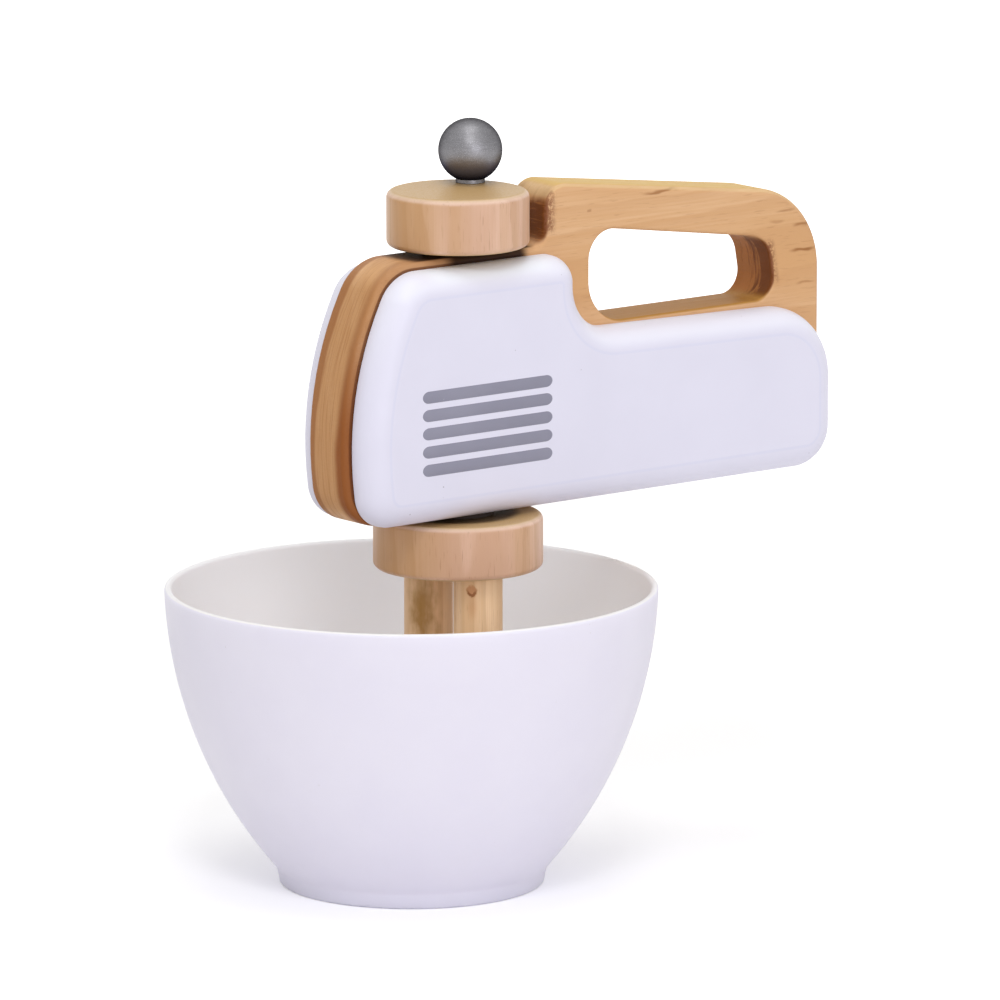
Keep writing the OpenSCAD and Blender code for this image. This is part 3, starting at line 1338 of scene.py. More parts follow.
BOARD_MARKS: Sequence[WoodMark] = (
    GrowthBands(),
    WoodStreak(129.0, 75.4, 9.0, 1.5, 0.6),
    WoodStreak(129.5, 67.5, 13.0, 1.9, 0.75),
    WoodStreak(130.5, 57.2, 9.0, 1.3, 0.4),
    WoodStreak(119.0, 77.3, 8.0, 1.4, 0.3),
    WoodStreak(122.5, 80.6, 10.0, 1.3, 0.35),
    WoodStreak(72.0, 91.6, 17.0, 1.6, 0.65),
    WoodStreak(44.0, 88.2, 2.4, 1.2, 0.4),
    PaintedShadeUnderDisc(),
    GripAndSillTones(),
    ScorchedAndShadedWalls(),
    Smear(118.7, -0.174, 3.0, 57.0, 73.0),
    Smear(28.4, 0.0, 3.4, 82.0, 97.5),
)


# Finishes

@dataclass(frozen=True)
class Finish:
    """Look of a surface, with the point of the frame that its pattern is counted from."""

    name: str
    origin: Triple = (0.0, 0.0, 0.0)

    def material(self) -> bpy.types.Material:
        """The material, built at its first use."""
        known = bpy.data.materials.get(self.name)
        return known or self._new_material()

    def _new_material(self) -> bpy.types.Material:
        """Makes the material and lets the finish dress its shader.

        Returns:
            The material.
        """
        made = bpy.data.materials.new(self.name)
        made.use_nodes = True
        graph = Graph(made.node_tree)
        self.dress(graph, made.node_tree.nodes["Principled BSDF"].inputs)
        return made

    def dress(self, graph: Graph, shader: Sockets) -> None:
        """Links and sets the shader's sockets.

        Args:
            graph: Graph of the material.
            shader: Input sockets of its Principled BSDF.
        """
        raise NotImplementedError


@dataclass(frozen=True)
class WoodFinish(Finish):
    """Lacquered wood."""

    grain: Grain = Grain.UPRIGHT
    marks: Sequence[WoodMark] = ()
    pale: Colour = paint(226, 184, 142)
    deep: Colour = paint(212, 164, 116)
    late: Colour = paint(184, 130, 82)
    pore: Colour = paint(160, 108, 66)
    end: Colour = paint(184, 134, 86)
    heart: Triple = (0.0, 70.0, 20.0)
    ring_width: float = 6.0
    wander: float = 12.0
    ring_shade_share: float = 0.22
    fibre_share: float = 0.6
    pore_share: float = 0.2
    end_share: float = 0.7
    end_facing: Fade = (0.55, 0.95)
    roughness: float = 0.42
    fibre_roughness: float = 0.12
    specular: float = 0.25
    pore_depth: float = 1.5
    depth: float = 0.06
    strength: float = 0.35

    def grain_place(self, graph: Graph, place: Socket) -> Socket:
        """Turns a place on the piece so that the grain runs along X from the heart."""
        axes = graph.axes(graph.vector("SUBTRACT", place, self.heart))
        return graph.joined(*(axes[i] for i in self.grain.value))

    def end_grain(self, graph: Graph) -> Socket:
        """Share of end grain, which is 1 where the surface cuts squarely across the grain."""
        along = graph.facing()[self.grain.value[0]]
        return graph.band(graph.math("ABSOLUTE", along), *self.end_facing)

    def dress(self, graph: Graph, shader: Sockets) -> None:
        """Mixes the wood's colours, adds its marks and lays the lacquer over them.

        Args:
            graph: Graph of the material.
            shader: Input sockets of its Principled BSDF.
        """
        place = graph.millimetres(self.origin)
        wood = graph.group(
            Timber().tree(), Place=self.grain_place(graph, place), Ring_Width=self.ring_width,
            Wander=self.wander,
        )
        colour = graph.mix(wood["Tone"], self.pale, self.deep)
        colour = graph.tint(colour, self.late, wood["Ring"], self.ring_shade_share)
        colour = graph.tint(colour, self.deep, wood["Fibre"], self.fibre_share)
        colour = graph.tint(colour, self.end, self.end_grain(graph), self.end_share)
        colour = graph.tint(colour, self.pore, wood["Pores"], self.pore_share)
        for mark in self.marks:
            colour = mark.add(graph, place, colour)
        graph.feed(shader["Base Color"], colour)
        dull = graph.every(wood["Fibre"], self.fibre_roughness)
        graph.feed(shader["Roughness"], graph.math("ADD", dull, self.roughness))
        height = graph.math("SUBTRACT", wood["Fibre"], graph.every(wood["Pores"], self.pore_depth))
        graph.feed(shader["Normal"], graph.bump(height, self.depth, self.strength))
        shader["Specular IOR Level"].default_value = self.specular


@dataclass(frozen=True)
class CoatFinish(Finish):
    """Even coat of paint, ink or moulded plastic with fine relief."""

    colour: Colour = paint(224, 222, 238)
    shade: Colour = paint(222, 220, 236)
    speck: Colour = paint(176, 172, 186)
    grain: float = 1.2
    depth: float = 0.02
    strength: float = 0.3
    roughness: float = 0.4
    spread: float = 0.06
    specular: float = 0.5

    def toned(self, graph: Graph, place: Socket, colour: Socket) -> Socket:
        """Changes the tone of some faces, which an even coat doesn't need.

        Args:
            graph: Graph of the material.
            place: Place on the piece in millimetres.
            colour: Colour of the coat so far.

        Returns:
            The colour that shows.
        """
        return colour

    def dress(self, graph: Graph, shader: Sockets) -> None:
        """Mottles the coat, adds a few specks and its fine relief.

        Args:
            graph: Graph of the material.
            shader: Input sockets of its Principled BSDF.
        """
        place = graph.millimetres(self.origin)
        relief = graph.group(Relief().tree(), Place=place, Grain=self.grain)
        colour = graph.mix(relief["Mottle"], self.colour, self.shade)
        colour = graph.tint(colour, self.speck, relief["Specks"])
        graph.feed(shader["Base Color"], self.toned(graph, place, colour))
        dull = graph.every(relief["Mottle"], self.spread)
        graph.feed(shader["Roughness"], graph.math("ADD", dull, self.roughness))
        graph.feed(shader["Normal"], graph.bump(relief["Height"], self.depth, self.strength))
        shader["Specular IOR Level"].default_value = self.specular


@dataclass(frozen=True)
class PanelPaint(CoatFinish):
    """Paint of a panel, with painted light on the upper side of its rounded edge and round the crank, and a
    faint painted shade line on the face where the edge starts.
    """

    # Painted light on the rounded edge where it looks up
    lit_edge: Colour = paint(238, 238, 249)
    lit_edge_away: Fade = (0.004, 0.02)
    lit_edge_facing: Fade = (0.1, 0.6)
    lit_edge_share: float = 0.7
    # Painted light that pales the crank disc's shadow on the panel's top edge
    shadow_fill: Colour = paint(242, 246, 255)
    shadow_fill_reach: Fade = (32.0, 24.0)
    shadow_fill_facing: Fade = (0.4, 0.8)
    # Painted shade line where the rounded edge meets the flat face
    crease: Colour = paint(208, 210, 234)
    crease_shade_starts: Fade = (0.0002, 0.002)
    crease_shade_ends: Fade = (0.012, 0.004)
    crease_shade_share: float = 0.3

    def toned(self, graph: Graph, place: Socket, colour: Socket) -> Socket:
        """Paints light on the edge's upper side, more round the crank, and a faint shade line on the face
        where the edge starts.

        Args:
            graph: Graph of the material.
            place: Place on the panel in millimetres.
            colour: Colour of the paint so far.

        Returns:
            The colour that shows.
        """
        _, sideways, upward = graph.facing()
        away = graph.math("SUBTRACT", 1.0, graph.math("ABSOLUTE", sideways))
        rounded = graph.band(away, *self.lit_edge_away)
        upper = graph.band(upward, *self.lit_edge_facing)
        # Painted light on the upper side of the rounded edge
        colour = graph.tint(colour, self.lit_edge, rounded, upper, self.lit_edge_share)
        reach = graph.band(graph.from_axis(place), *self.shadow_fill_reach)
        # Painted light under the crank disc
        colour = graph.tint(colour, self.shadow_fill, reach, graph.band(upward, *self.shadow_fill_facing))
        starts = graph.band(away, *self.crease_shade_starts)
        ends = graph.band(away, *self.crease_shade_ends)
        # Painted shade line at the start of the rounded edge
        return graph.tint(colour, self.crease, starts, ends, self.crease_shade_share)


@dataclass(frozen=True)
class BowlPlastic(CoatFinish):
    """Moulded plastic that lets some light through its thin wall, with painted light that makes it paler and
    warmer inside the bowl.
    """

    # Painted light on the faces inside the bowl
    inside: Colour = paint(250, 249, 252)
    inward: Fade = (0.0, -8.0)
    floor_facing: Fade = (0.5, 0.9)
    see_through: float = 0.6
    scatter: float = 6.0

    def dress(self, graph: Graph, shader: Sockets) -> None:
        """Dresses the plastic as a coat and lets light pass through its thin wall.

        Args:
            graph: Graph of the material.
            shader: Input sockets of its Principled BSDF.
        """
        super().dress(graph, shader)
        shader["Subsurface Weight"].default_value = self.see_through
        shader["Subsurface Radius"].default_value = EVEN
        shader["Subsurface Scale"].default_value = self.scatter * MM

    def toned(self, graph: Graph, place: Socket, colour: Socket) -> Socket:
        """Paints light on the faces that look towards the bowl's axis or up from its floor.

        Args:
            graph: Graph of the material.
            place: Place on the bowl in millimetres.
            colour: Colour of the plastic so far.

        Returns:
            The colour that shows.
        """
        from_axis = graph.vector("MULTIPLY", place, FLAT)
        outward = graph.vector("DOT_PRODUCT", from_axis, graph.coordinates("Normal"))
        floor = graph.band(graph.facing()[2], *self.floor_facing)
        # Painted light on the inside faces and the floor
        return graph.tint(colour, self.inside, graph.either(graph.band(outward, *self.inward), floor))


@dataclass(frozen=True)
class FlakePaint(Finish):
    """Grey paint with fine metal flakes, with painted shade where it looks down."""

    colour: Colour = paint(132, 131, 134)
    dark: Colour = paint(124, 123, 126)
    flake: Colour = paint(188, 187, 192)
    flake_size: float = 0.16
    flake_edge: Fade = (0.52, 0.74)
    turning: Noise = Noise((0.25, 0.25, 3.2))
    turning_edge: Fade = (0.35, 0.7)
    turning_roughness: float = 0.05
    # Painted shade on the side that looks down, in a bluish grey
    lower: Colour = paint(100, 104, 128)
    lower_facing: Fade = (-0.15, -0.6)
    # Deeper painted shade on the underside
    under: Colour = paint(58, 58, 76)
    under_facing: Fade = (-0.55, -0.95)
    edge: Colour = (0.02, 0.02, 0.02, 1.0)
    metallic: float = 1.0
    roughness: float = 0.43
    depth: float = 0.03
    strength: float = 0.4

    def dress(self, graph: Graph, shader: Sockets) -> None:
        """Scatters the flakes, adds faint turning marks and paints shade on the underside.

        Args:
            graph: Graph of the material.
            shader: Input sockets of its Principled BSDF.
        """
        place = graph.millimetres(self.origin)
        relief = graph.group(Relief().tree(), Place=place, Grain=self.flake_size)
        turning = graph.noise(place, self.turning)
        upward = graph.facing()[2]
        colour = graph.mix(graph.band(turning, *self.turning_edge), self.dark, self.colour)
        colour = graph.tint(colour, self.flake, graph.band(relief["Height"], *self.flake_edge))
        # Painted shade where the knob looks down
        colour = graph.tint(colour, self.lower, graph.band(upward, *self.lower_facing))
        colour = graph.tint(colour, self.under, graph.band(upward, *self.under_facing))
        graph.feed(shader["Base Color"], colour)
        dull = graph.every(turning, self.turning_roughness)
        graph.feed(shader["Roughness"], graph.math("ADD", dull, self.roughness))
        graph.feed(shader["Normal"], graph.bump(relief["Height"], self.depth, self.strength))
        shader["Metallic"].default_value = self.metallic
        shader["Specular Tint"].default_value = self.edge


@dataclass(frozen=True)
class TableTop(Finish):
    """White table that shows brighter than it lights the toy, and brightest far away, in metres."""

    colour: Colour = (0.91, 0.91, 0.91, 1.0)
    glow: float = 0.245
    far_glow: float = 0.6
    far_reach: Fade = (0.35, 1.2)
    roughness: float = 1.0
    specular: float = 0.0

    def dress(self, graph: Graph, shader: Sockets) -> None:
        """Makes the table matt, with a glow that only shows where it is seen.

        Args:
            graph: Graph of the material.
            shader: Input sockets of its Principled BSDF.
        """
        shader["Base Color"].default_value = self.colour
        shader["Roughness"].default_value = self.roughness
        shader["Specular IOR Level"].default_value = self.specular
        shader["Emission Color"].default_value = WHITE
        reach = graph.vector("LENGTH", graph.coordinates("Object"))
        far = graph.every(graph.band(reach, *self.far_reach), self.far_glow)
        glow = graph.math("ADD", far, self.glow)
        graph.feed(shader["Emission Strength"], graph.every(graph.seen_directly(), glow))


# Placing pieces

def coat(piece: bpy.types.Object, finish: Finish) -> None:
    """Gives a piece one finish."""
    piece.data.materials.clear()
    piece.data.materials.append(finish.material())


def place_piece(piece: bpy.types.Object, body: Body, slot: Slot, finish: Finish, *nodes: str) -> None:
    """Dresses a piece and ties it to the frame.

    Args:
        piece: The piece, in its place.
        body: Body that it rides on.
        slot: Material slot that its finish stands for; not used.
        finish: Its finish.
        *nodes: Nodes that it stands for.
    """
    coat(piece, finish)
    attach(piece, body.value)
    if nodes:
        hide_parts(*nodes)
    LOG.info("%s rides on %s with %s", piece.name, body.value, finish.name)


# The bowl

@dataclass(frozen=True)
class MixingBowl:
    """Moulded bowl with a rounded lip and a stepped foot."""

    mouth_d: float = 151.6
    lean_h: float = 3.7
    wall: float = 2.0
    floor: float = 2.2
    lip_d: float = 2.2
    lip_seam: float = 0.02
    foot_d: float = 81.4
    foot_h: float = 5.0
    foot_flare: float = 2.0
    foot_edge_r: float = 0.8
    foot_support: float = 2.4
    step_r: float = 3.0
    floor_r: float = 2.0
    floor_support: float = 4.0
    floor_rise_r: float = 8.0
    segments: int = 192
    side_steps: int = 44
    lip_steps: int = 12
    rise_steps: int = 4

    def profile(self) -> list[Point]:
        """Draws the bowl's profile.

        Returns:
            Points from the middle of its underside round the lip to the middle of its floor.
        """
        height = NodeBox.of("mixing_bowl").size.z
        mouth_r = self.mouth_d / 2
        foot_top = (self.foot_d + self.foot_flare) / 2
        run = mouth_r - foot_top
        rise = height + self.lean_h - self.foot_h
        side_r = (rise * rise + run * run) / (2 * run)
        centre = (mouth_r - side_r, height + self.lean_h)
        lip_r = self.lip_d / 2
        lip_z = height - lip_r

        def angle(radius: float, z: float) -> float:
            """Angle at which an arc round the centre reaches a height."""
            return math.degrees(math.asin((z - centre[1]) / radius))

        outer = arc(centre, side_r, angle(side_r, self.foot_h), angle(side_r, lip_z), self.side_steps)
        lip = arc((outer[-1][0] - lip_r, lip_z), lip_r, 0.0, 180.0, self.lip_steps)
        inner_r = side_r - self.wall
        inner_top = lip[-1][0]
        inner = arc(centre, inner_r, angle(inner_r, lip_z), angle(inner_r, self.foot_h), self.side_steps)
        inner = [p for p in inner if p[0] < inner_top - self.lip_seam]
        foot = (self.foot_d / 2, 0.0)
        well = (inner[-1][0], self.floor)
        return [
            (0.0, 0.0), (foot[0] - self.foot_support, 0.0),
            *filleted((0.0, 0.0), foot, outer[0], self.foot_edge_r),
            *filleted(foot, outer[0], outer[1], self.step_r),
            *outer[1:-1], *lip, *inner[:-1],
            *filleted(inner[-2], inner[-1], well, self.floor_rise_r, self.rise_steps),
            *filleted(inner[-1], well, (0.0, self.floor), self.floor_r),
            (well[0] - self.floor_support, self.floor), (0.0, self.floor),
        ]

    def build(self) -> bpy.types.Object:
        """Turns the bowl."""
        return turned(self.profile(), self.segments, "bowl_shell", Vector((0.0, 0.0, 0.0)))

    def dress(self) -> None:
        """Builds the bowl and gives it its plastic."""
        plastic = BowlPlastic(
            "white_plastic", colour=paint(231, 228, 248), shade=paint(229, 226, 246),
            speck=paint(218, 215, 230), grain=0.5, depth=0.015, strength=0.25, roughness=0.46, spread=0.08,
        )
        place_piece(self.build(), Body.BOWL, Slot.BOWL, plastic, "mixing_bowl")


# The body

@dataclass(frozen=True)
class MixerBody:
    """Board with the grip between two painted panels, drawn from the crank's axis and the underside."""

    board_t: float = 18.0
    board_edge_r: float = 2.0
    hole_edge_r: float = 1.2
    reveal: float = 2.5
    back_reveal: float = 0.4
    post_x: float = 27.0
    post_w: float = 17.4
    rear_post_w: float = 17.7
    grip_front_h: float = 98.7
    grip_back_h: float = 85.2
    grip_bar_front: float = 13.5
    grip_bar_back: float = 15.0
    sill_h: float = 0.4
    hole_lean: float = 3.4
    post_foot_r: float = 5.0
    grip_front_r: float = 7.5
    grip_back_r: float = 27.0
    hole_front_foot_r: float = 13.0
    hole_front_top_r: float = 9.0
    hole_back_top_r: float = 9.0
    hole_back_foot_r: float = 7.0
    panel_t: float = 10.0
    panel_edge_r: float = 8.0
    panel_seat_r: float = 0.5
    nose_l: float = 51.3
    nose_bulge_h: float = 41.2
    nose_foot_back: float = 5.5
    nose_brow_back: float = 18.3
    panel_front_h: float = 77.0
    step_x: float = 33.6
    tail_h: float = 52.9
    tail_drop: float = 2.1
    tail_l: float = 136.0
    nose_foot_r: float = 11.0
    nose_bulge_r: float = 98.0
    nose_brow_r: float = 14.0
    step_top_r: float = 8.8
    step_foot_r: float = 14.5
    tail_top_r: float = 23.0
    tail_foot_r: float = 13.0
    edge_steps: int = 10
    bore_d: float = 10.16
    stripe_front: float = -28.4
    stripe_back: float = 21.6
    stripe_top_z: float = 39.7
    stripe_pitch: float = 5.6
    stripe_h: float = 3.7
    stripe_end_l: float = 2.4
    stripe_end_steps: int = 24
    stripe_t: float = 0.05
    stripe_side_t: float = 0.03
    stripe_side_inset: float = 0.01
    stripe_top_inset: float = 0.05
    stripe_count: int = 5

    def panel_outline(self) -> Outline:
        """Draws a panel.

        Returns:
            Its outline, of which the last three corners are the nose's brow, bulge and foot.
        """
        return Outline((
            Corner(self.tail_l, 0.0, self.tail_foot_r),
            Corner(self.tail_l, self.tail_h - self.tail_drop, self.tail_top_r),
            Corner(self.step_x, self.tail_h, self.step_foot_r),
            Corner(self.step_x, self.panel_front_h, self.step_top_r),
            Corner(self.nose_brow_back - self.nose_l, self.panel_front_h, self.nose_brow_r),
            Corner(-self.nose_l, self.nose_bulge_h, self.nose_bulge_r),
            Corner(self.nose_foot_back - self.nose_l, 0.0, self.nose_foot_r),
        ))

    def board_outline(self) -> Outline:
        """Draws the board.

        Returns:
            Its outline, which follows the panel's at the nose.
        """
        panel = self.panel_outline()
        foot = len(panel.corners) - 1
        bulge = foot - 1
        brow = foot - 2
        back = self.tail_l + self.back_reveal
        return Outline((
            Corner(back, 0.0, self.tail_foot_r + self.back_reveal),
            Corner(back, self.grip_back_h, self.grip_back_r),
            Corner(self.post_x, self.grip_front_h, self.grip_front_r),
            Corner(self.post_x, self.panel_front_h + self.reveal, self.post_foot_r),
            panel.moved(brow, self.reveal, self.reveal),
            panel.moved(bulge, self.reveal, self.reveal),
            panel.moved(foot, self.reveal, 0.0),
        ))

    def hole_outline(self) -> Outline:
        """Draws the finger hole.

        Returns:
            Its outline.
        """
        back = self.tail_l + self.back_reveal
        fall = (self.grip_front_h - self.grip_back_h) / (back - self.post_x)
        front_x = self.post_x + self.post_w
        back_x = back - self.rear_post_w
        lean_x = back_x - self.hole_lean
        sill = self.tail_h + self.sill_h

        def grip_top(x: float) -> float:
            """Height of the grip's top."""
            return self.grip_front_h - fall * (x - self.post_x)

        return Outline((
            Corner(back_x, sill, self.hole_back_foot_r),
            Corner(lean_x, grip_top(lean_x) - self.grip_bar_back, self.hole_back_top_r),
            Corner(front_x, grip_top(front_x) - self.grip_bar_front, self.hole_front_top_r),
            Corner(front_x, sill, self.hole_front_foot_r),
        ))

    def _rounded_levels(self, face: float, radius: float, inward: int) -> list[Level]:
        """Rings across a rounded edge, and one just past it on the face.

        Args:
            face: Y of the face.
            radius: Radius of the rounding.
            inward: 1 where the outline narrows towards the face, and -1 where it widens, as a hole's does.

        Returns:
            The rings from the side to the face.
        """
        sweep = arc((0.0, 0.0), radius, 90.0, 0.0, self.edge_steps)
        rings = [Level(face - radius + rise, inward * (radius - rest)) for rise, rest in sweep]
        return [*rings, Level(face, inward * (radius + SUPPORT))]

    def board_levels(self, radius: float, inward: int) -> list[Level]:
        """Rings of the board's edge from its left face to its right one.

        Args:
            radius: Radius of the rounding.
            inward: 1 for the outer edge, and -1 for the edge of the hole.

        Returns:
            The rings in order.
        """
        half = self._rounded_levels(self.board_t / 2, radius, inward)
        return [level.mirrored() for level in reversed(half)] + half

    def build_board(self) -> bpy.types.Object:
        """Builds the board with its finger hole and the bore for the shaft.

        Returns:
            The board.
        """
        shape = bmesh.new()
        outer = slab_rings(shape, self.board_outline().points(), self.board_levels(self.board_edge_r, 1))
        hole = slab_rings(shape, self.hole_outline().points(), self.board_levels(self.hole_edge_r, -1))
        for end in (0, -1):
            edges = []
            for loop in (outer[end], hole[end]):
                count = len(loop)
                edges += [shape.edges.get((loop[i], loop[(i + 1) % count])) for i in range(count)]
            bmesh.ops.triangle_fill(shape, use_beauty=True, use_dissolve=False, edges=edges)
        board = as_object(shape, "grip_board", body_origin())
        bore_l = self.panel_front_h + self.reveal + 2 * OVERCUT
        drill(board, [drill_bit(self.bore_d, bore_l, body_origin() - Vector((0.0, 0.0, OVERCUT)))])
        return board

    def build_panel(self, side: Side) -> bpy.types.Object:
        """Builds a panel.

        Args:
            side: Side of the body that it is glued to.

        Returns:
            The panel.
        """
        seat = self.board_t / 2
        bevel = self.panel_seat_r
        levels = [Level(seat, bevel + SUPPORT), Level(seat, bevel), Level(seat + bevel)]
        levels += self._rounded_levels(seat + self.panel_t, self.panel_edge_r, 1)
        if side is Side.LEFT:
            levels = [level.mirrored() for level in levels]
        shape = bmesh.new()
        closed_slab(shape, self.panel_outline().points(), levels)
        return as_object(shape, side.named("panel_shell"), body_origin())

    def stripe_points(self, z: float) -> list[EdgePoint]:
        """Points round a stripe with oval ends.

        Args:
            z: Height of its middle line.

        Returns:
            The points, each with its normal.
        """
        made = []
        half = self.stripe_h / 2
        oval = self.stripe_end_l
        for x, start in ((self.stripe_back - oval, -90), (self.stripe_front + oval, 90)):
            for cos, sin in arc((0.0, 0.0), 1.0, start, start + 180, self.stripe_end_steps):
                normal = Vector((cos / oval, sin / half)).normalized()
                made.append(EdgePoint(Vector((x + oval * cos, z + half * sin)), normal))
        return made

    def build_stripes(self) -> bpy.types.Object:
        """Builds the printed stripes on the left panel.

        Returns:
            The stripes as one thin piece.
        """
        shape = bmesh.new()
        face = -(self.board_t / 2 + self.panel_t)
        levels = [
            Level(face), Level(face - self.stripe_side_t, self.stripe_side_inset),
            Level(face - self.stripe_t, self.stripe_top_inset),
        ]
        for k in range(self.stripe_count):
            closed_slab(shape, self.stripe_points(self.stripe_top_z - k * self.stripe_pitch), levels)
        return as_object(shape, "panel_stripes", body_origin())

    def dress(self) -> None:
        """Builds the body's pieces and gives them wood, paint and ink."""
        origin = tuple(body_origin())
        wood = WoodFinish(
            "honey_board", origin=origin, grain=Grain.LEVEL, marks=BOARD_MARKS, specular=0.12
        )
        place_piece(self.build_board(), Body.MIXER, Slot.BOARD, wood, "handle_board")
        white = PanelPaint("white_paint", origin=origin)
        for side in Side:
            place_piece(self.build_panel(side), Body.MIXER, Slot.PANEL, white, side.named("side_panel"))
        ink = CoatFinish(
            "stripe_ink", colour=paint(142, 141, 158), shade=paint(136, 135, 152),
            speck=paint(162, 160, 176), grain=0.35, roughness=0.5,
        )
        place_piece(self.build_stripes(), Body.MIXER, Slot.GREY, ink)


# The crank and the beaters

@dataclass(frozen=True)
class TurnedDisc:
    """Disc with rounded edges and a blind socket on its axis."""

    diameter: float
    thickness: float
    edge_r: float
    rim_r: float
    socket_d: float
    socket_l: float
    opens: SocketEnd
    edge_steps: int = 8
    segments: int = 160

    def profile(self) -> list[Point]:
        """Draws the disc's profile.

        Returns:
            Points from its underside to its top.
        """
        foot = self.diameter / 2 - self.edge_r
        rim = self.diameter / 2 - self.rim_r
        top = self.thickness
        socket = self.socket_d / 2
        underside = [(0.0, 0.0)]
        upper = [(0.0, top)]
        if self.opens is SocketEnd.UNDERSIDE:
            underside = [(0.0, self.socket_l), (socket, self.socket_l), (socket, 0.0)]
        else:
            upper = [(socket, top), (socket, top - self.socket_l), (0.0, top - self.socket_l)]
        return [
            *underside, (foot - SUPPORT, 0.0),
            *arc((foot, self.edge_r), self.edge_r, -90.0, 0.0, self.edge_steps),
            *arc((rim, top - self.rim_r), self.rim_r, 0.0, 90.0, self.edge_steps),
            (rim - SUPPORT, top), *upper,
        ]

    def build(self, name: str, origin: Vector) -> bpy.types.Object:
        """Turns the disc with the middle of its underside at a point of the frame."""
        return turned(self.profile(), self.segments, name, origin)


@dataclass(frozen=True)
class CrankDrive:
    """Crank disc with its knob, and the head with the beaters, on one shaft."""

    disc_edge_r: float = 2.0
    disc_rim_r: float = 2.2
    disc_cap: float = 6.0
    shaft_d: float = 10.0
    glue_gap: float = 0.05
    knob_d: float = 19.6
    knob_steps: int = 48
    knob_top: float = 89.0
    knob_segments: int = 112
    neck_d: float = 8.2
    neck_foot_d: float = 9.0
    neck_foot_edge: float = 0.15
    neck_ring_h: float = 0.8
    neck_h: float = 0.1
    peg_d: float = 6.0
    peg_l: float = 9.0
    peg_edge: float = 0.5
    head_web: float = 1.6
    beater_tip_r: float = 3.0
    beater_tip_steps: int = 8
    beater_top_edge: float = 0.4
    washer_edge: float = 0.15
    washer_play: float = 0.3
    small_segments: int = 96
    knot_place: Triple = (-3.05, -33.77, 96.2)
    stain_place: Triple = (-3.1, -9.2, 86.0)

    @property
    def shaft_socket_d(self) -> float:
        """Diameter of the sockets that the shaft is glued into."""
        return self.shaft_d + 2 * self.glue_gap

    def build_disc(self) -> bpy.types.Object:
        """Builds the crank disc with the sockets of the shaft and the knob's peg.

        Returns:
            The disc.
        """
        box = NodeBox.of("crank_disc")
        thickness = box.size.z
        disc = TurnedDisc(
            box.size.x, thickness, self.disc_edge_r, self.disc_rim_r, self.shaft_socket_d,
            thickness - self.disc_cap, SocketEnd.UNDERSIDE,
        ).build("crank_top", shaft_axis(box.low.z))
        peg = NodeBox.of("crank_knob").foot
        drill(disc, [drill_bit(self.peg_d + 2 * self.glue_gap, self.peg_l + OVERCUT, peg)])
        return disc

    def knob_profile(self) -> list[Point]:
        """Draws the knob's profile, counted from the disc's top.

        Returns:
            Points from the end of its peg to the top of its ball.
        """
        ball_r = self.knob_d / 2
        ball_z = self.neck_h + ball_r
        foot_r = self.neck_foot_d / 2
        taper = (self.neck_foot_d - self.neck_d) / 2 / (self.neck_h + self.knob_d / 4)
        # The crease is the lower of the two heights at which the tapered neck meets the ball.
        a = 1 + taper * taper
        b = -2 * (foot_r * taper + ball_z)
        c = foot_r * foot_r + ball_z * ball_z - ball_r * ball_r
        crease_z = (-b - math.sqrt(b * b - 4 * a * c)) / (2 * a)
        crease = math.degrees(math.asin((crease_z - ball_z) / ball_r))
        peg_r = self.peg_d / 2
        edge = self.neck_foot_edge
        return [
            (0.0, -self.peg_l), (peg_r - self.peg_edge, -self.peg_l), (peg_r, self.peg_edge - self.peg_l),
            (peg_r, 0.0), (foot_r - edge, 0.0), (foot_r, edge),
            (foot_r - taper * self.neck_ring_h, self.neck_ring_h),
            *arc((0.0, ball_z), ball_r, crease, self.knob_top, self.knob_steps), (0.0, ball_z + ball_r),
        ]

    def build_knob(self) -> bpy.types.Object:
        """Turns the knob."""
        origin = NodeBox.of("crank_knob").foot + Vector((0.0, 0.0, self.peg_l))
        return turned(self.knob_profile(), self.knob_segments, "ball_knob", origin)

    def build_head(self) -> bpy.types.Object:
        """Builds the head with the sockets of the shaft and the beaters.

        Returns:
            The head.
        """
        box = NodeBox.of("beater_head")
        thickness = box.size.z
        depth = (thickness - self.head_web) / 2
        head = TurnedDisc(
            box.size.x, thickness, self.disc_edge_r, self.disc_edge_r, self.shaft_socket_d, depth,
            SocketEnd.TOP,
        ).build("beater_hub", shaft_axis(box.low.z))
        bits = []
        for side in Side:
            beater = NodeBox.of(side.named("beater"))
            start = Vector((beater.foot.x, beater.foot.y, box.low.z - OVERCUT))
            bits.append(drill_bit(beater.size.x + 2 * self.glue_gap, depth + OVERCUT, start))
        drill(head, bits)
        return head

    def build_beater(self, side: Side) -> bpy.types.Object:
        """Turns a beater.

        Args:
            side: Side of the shaft that it hangs on.

        Returns:
            The beater.
        """
        box = NodeBox.of(side.named("beater"))
        radius = box.size.x / 2
        tip = radius - self.beater_tip_r
        top = box.size.z
        edge = self.beater_top_edge
        profile = [
            (0.0, 0.0), (tip - SUPPORT, 0.0),
            *arc((tip, self.beater_tip_r), self.beater_tip_r, -90.0, 0.0, self.beater_tip_steps),
            (radius, top - edge), (radius - edge, top), (0.0, top),
        ]
        return turned(profile, self.small_segments, side.named("dowel"), box.foot)

    def build_washer(self, node: str) -> bpy.types.Object:
        """Builds a washer with its edges just broken.

        Args:
            node: Node that it stands for.

        Returns:
            The washer.
        """
        box = NodeBox.of(node)
        outer = box.size.x / 2
        inner = self.shaft_d / 2 + self.washer_play
        top = box.size.z
        edge = self.washer_edge
        profile = [
            (inner, edge), (inner + edge, 0.0), (outer - edge, 0.0), (outer, edge),
            (outer, top - edge), (outer - edge, top), (inner + edge, top), (inner, top - edge),
        ]
        return turned(profile, self.small_segments, f"{node}_ring", box.foot)

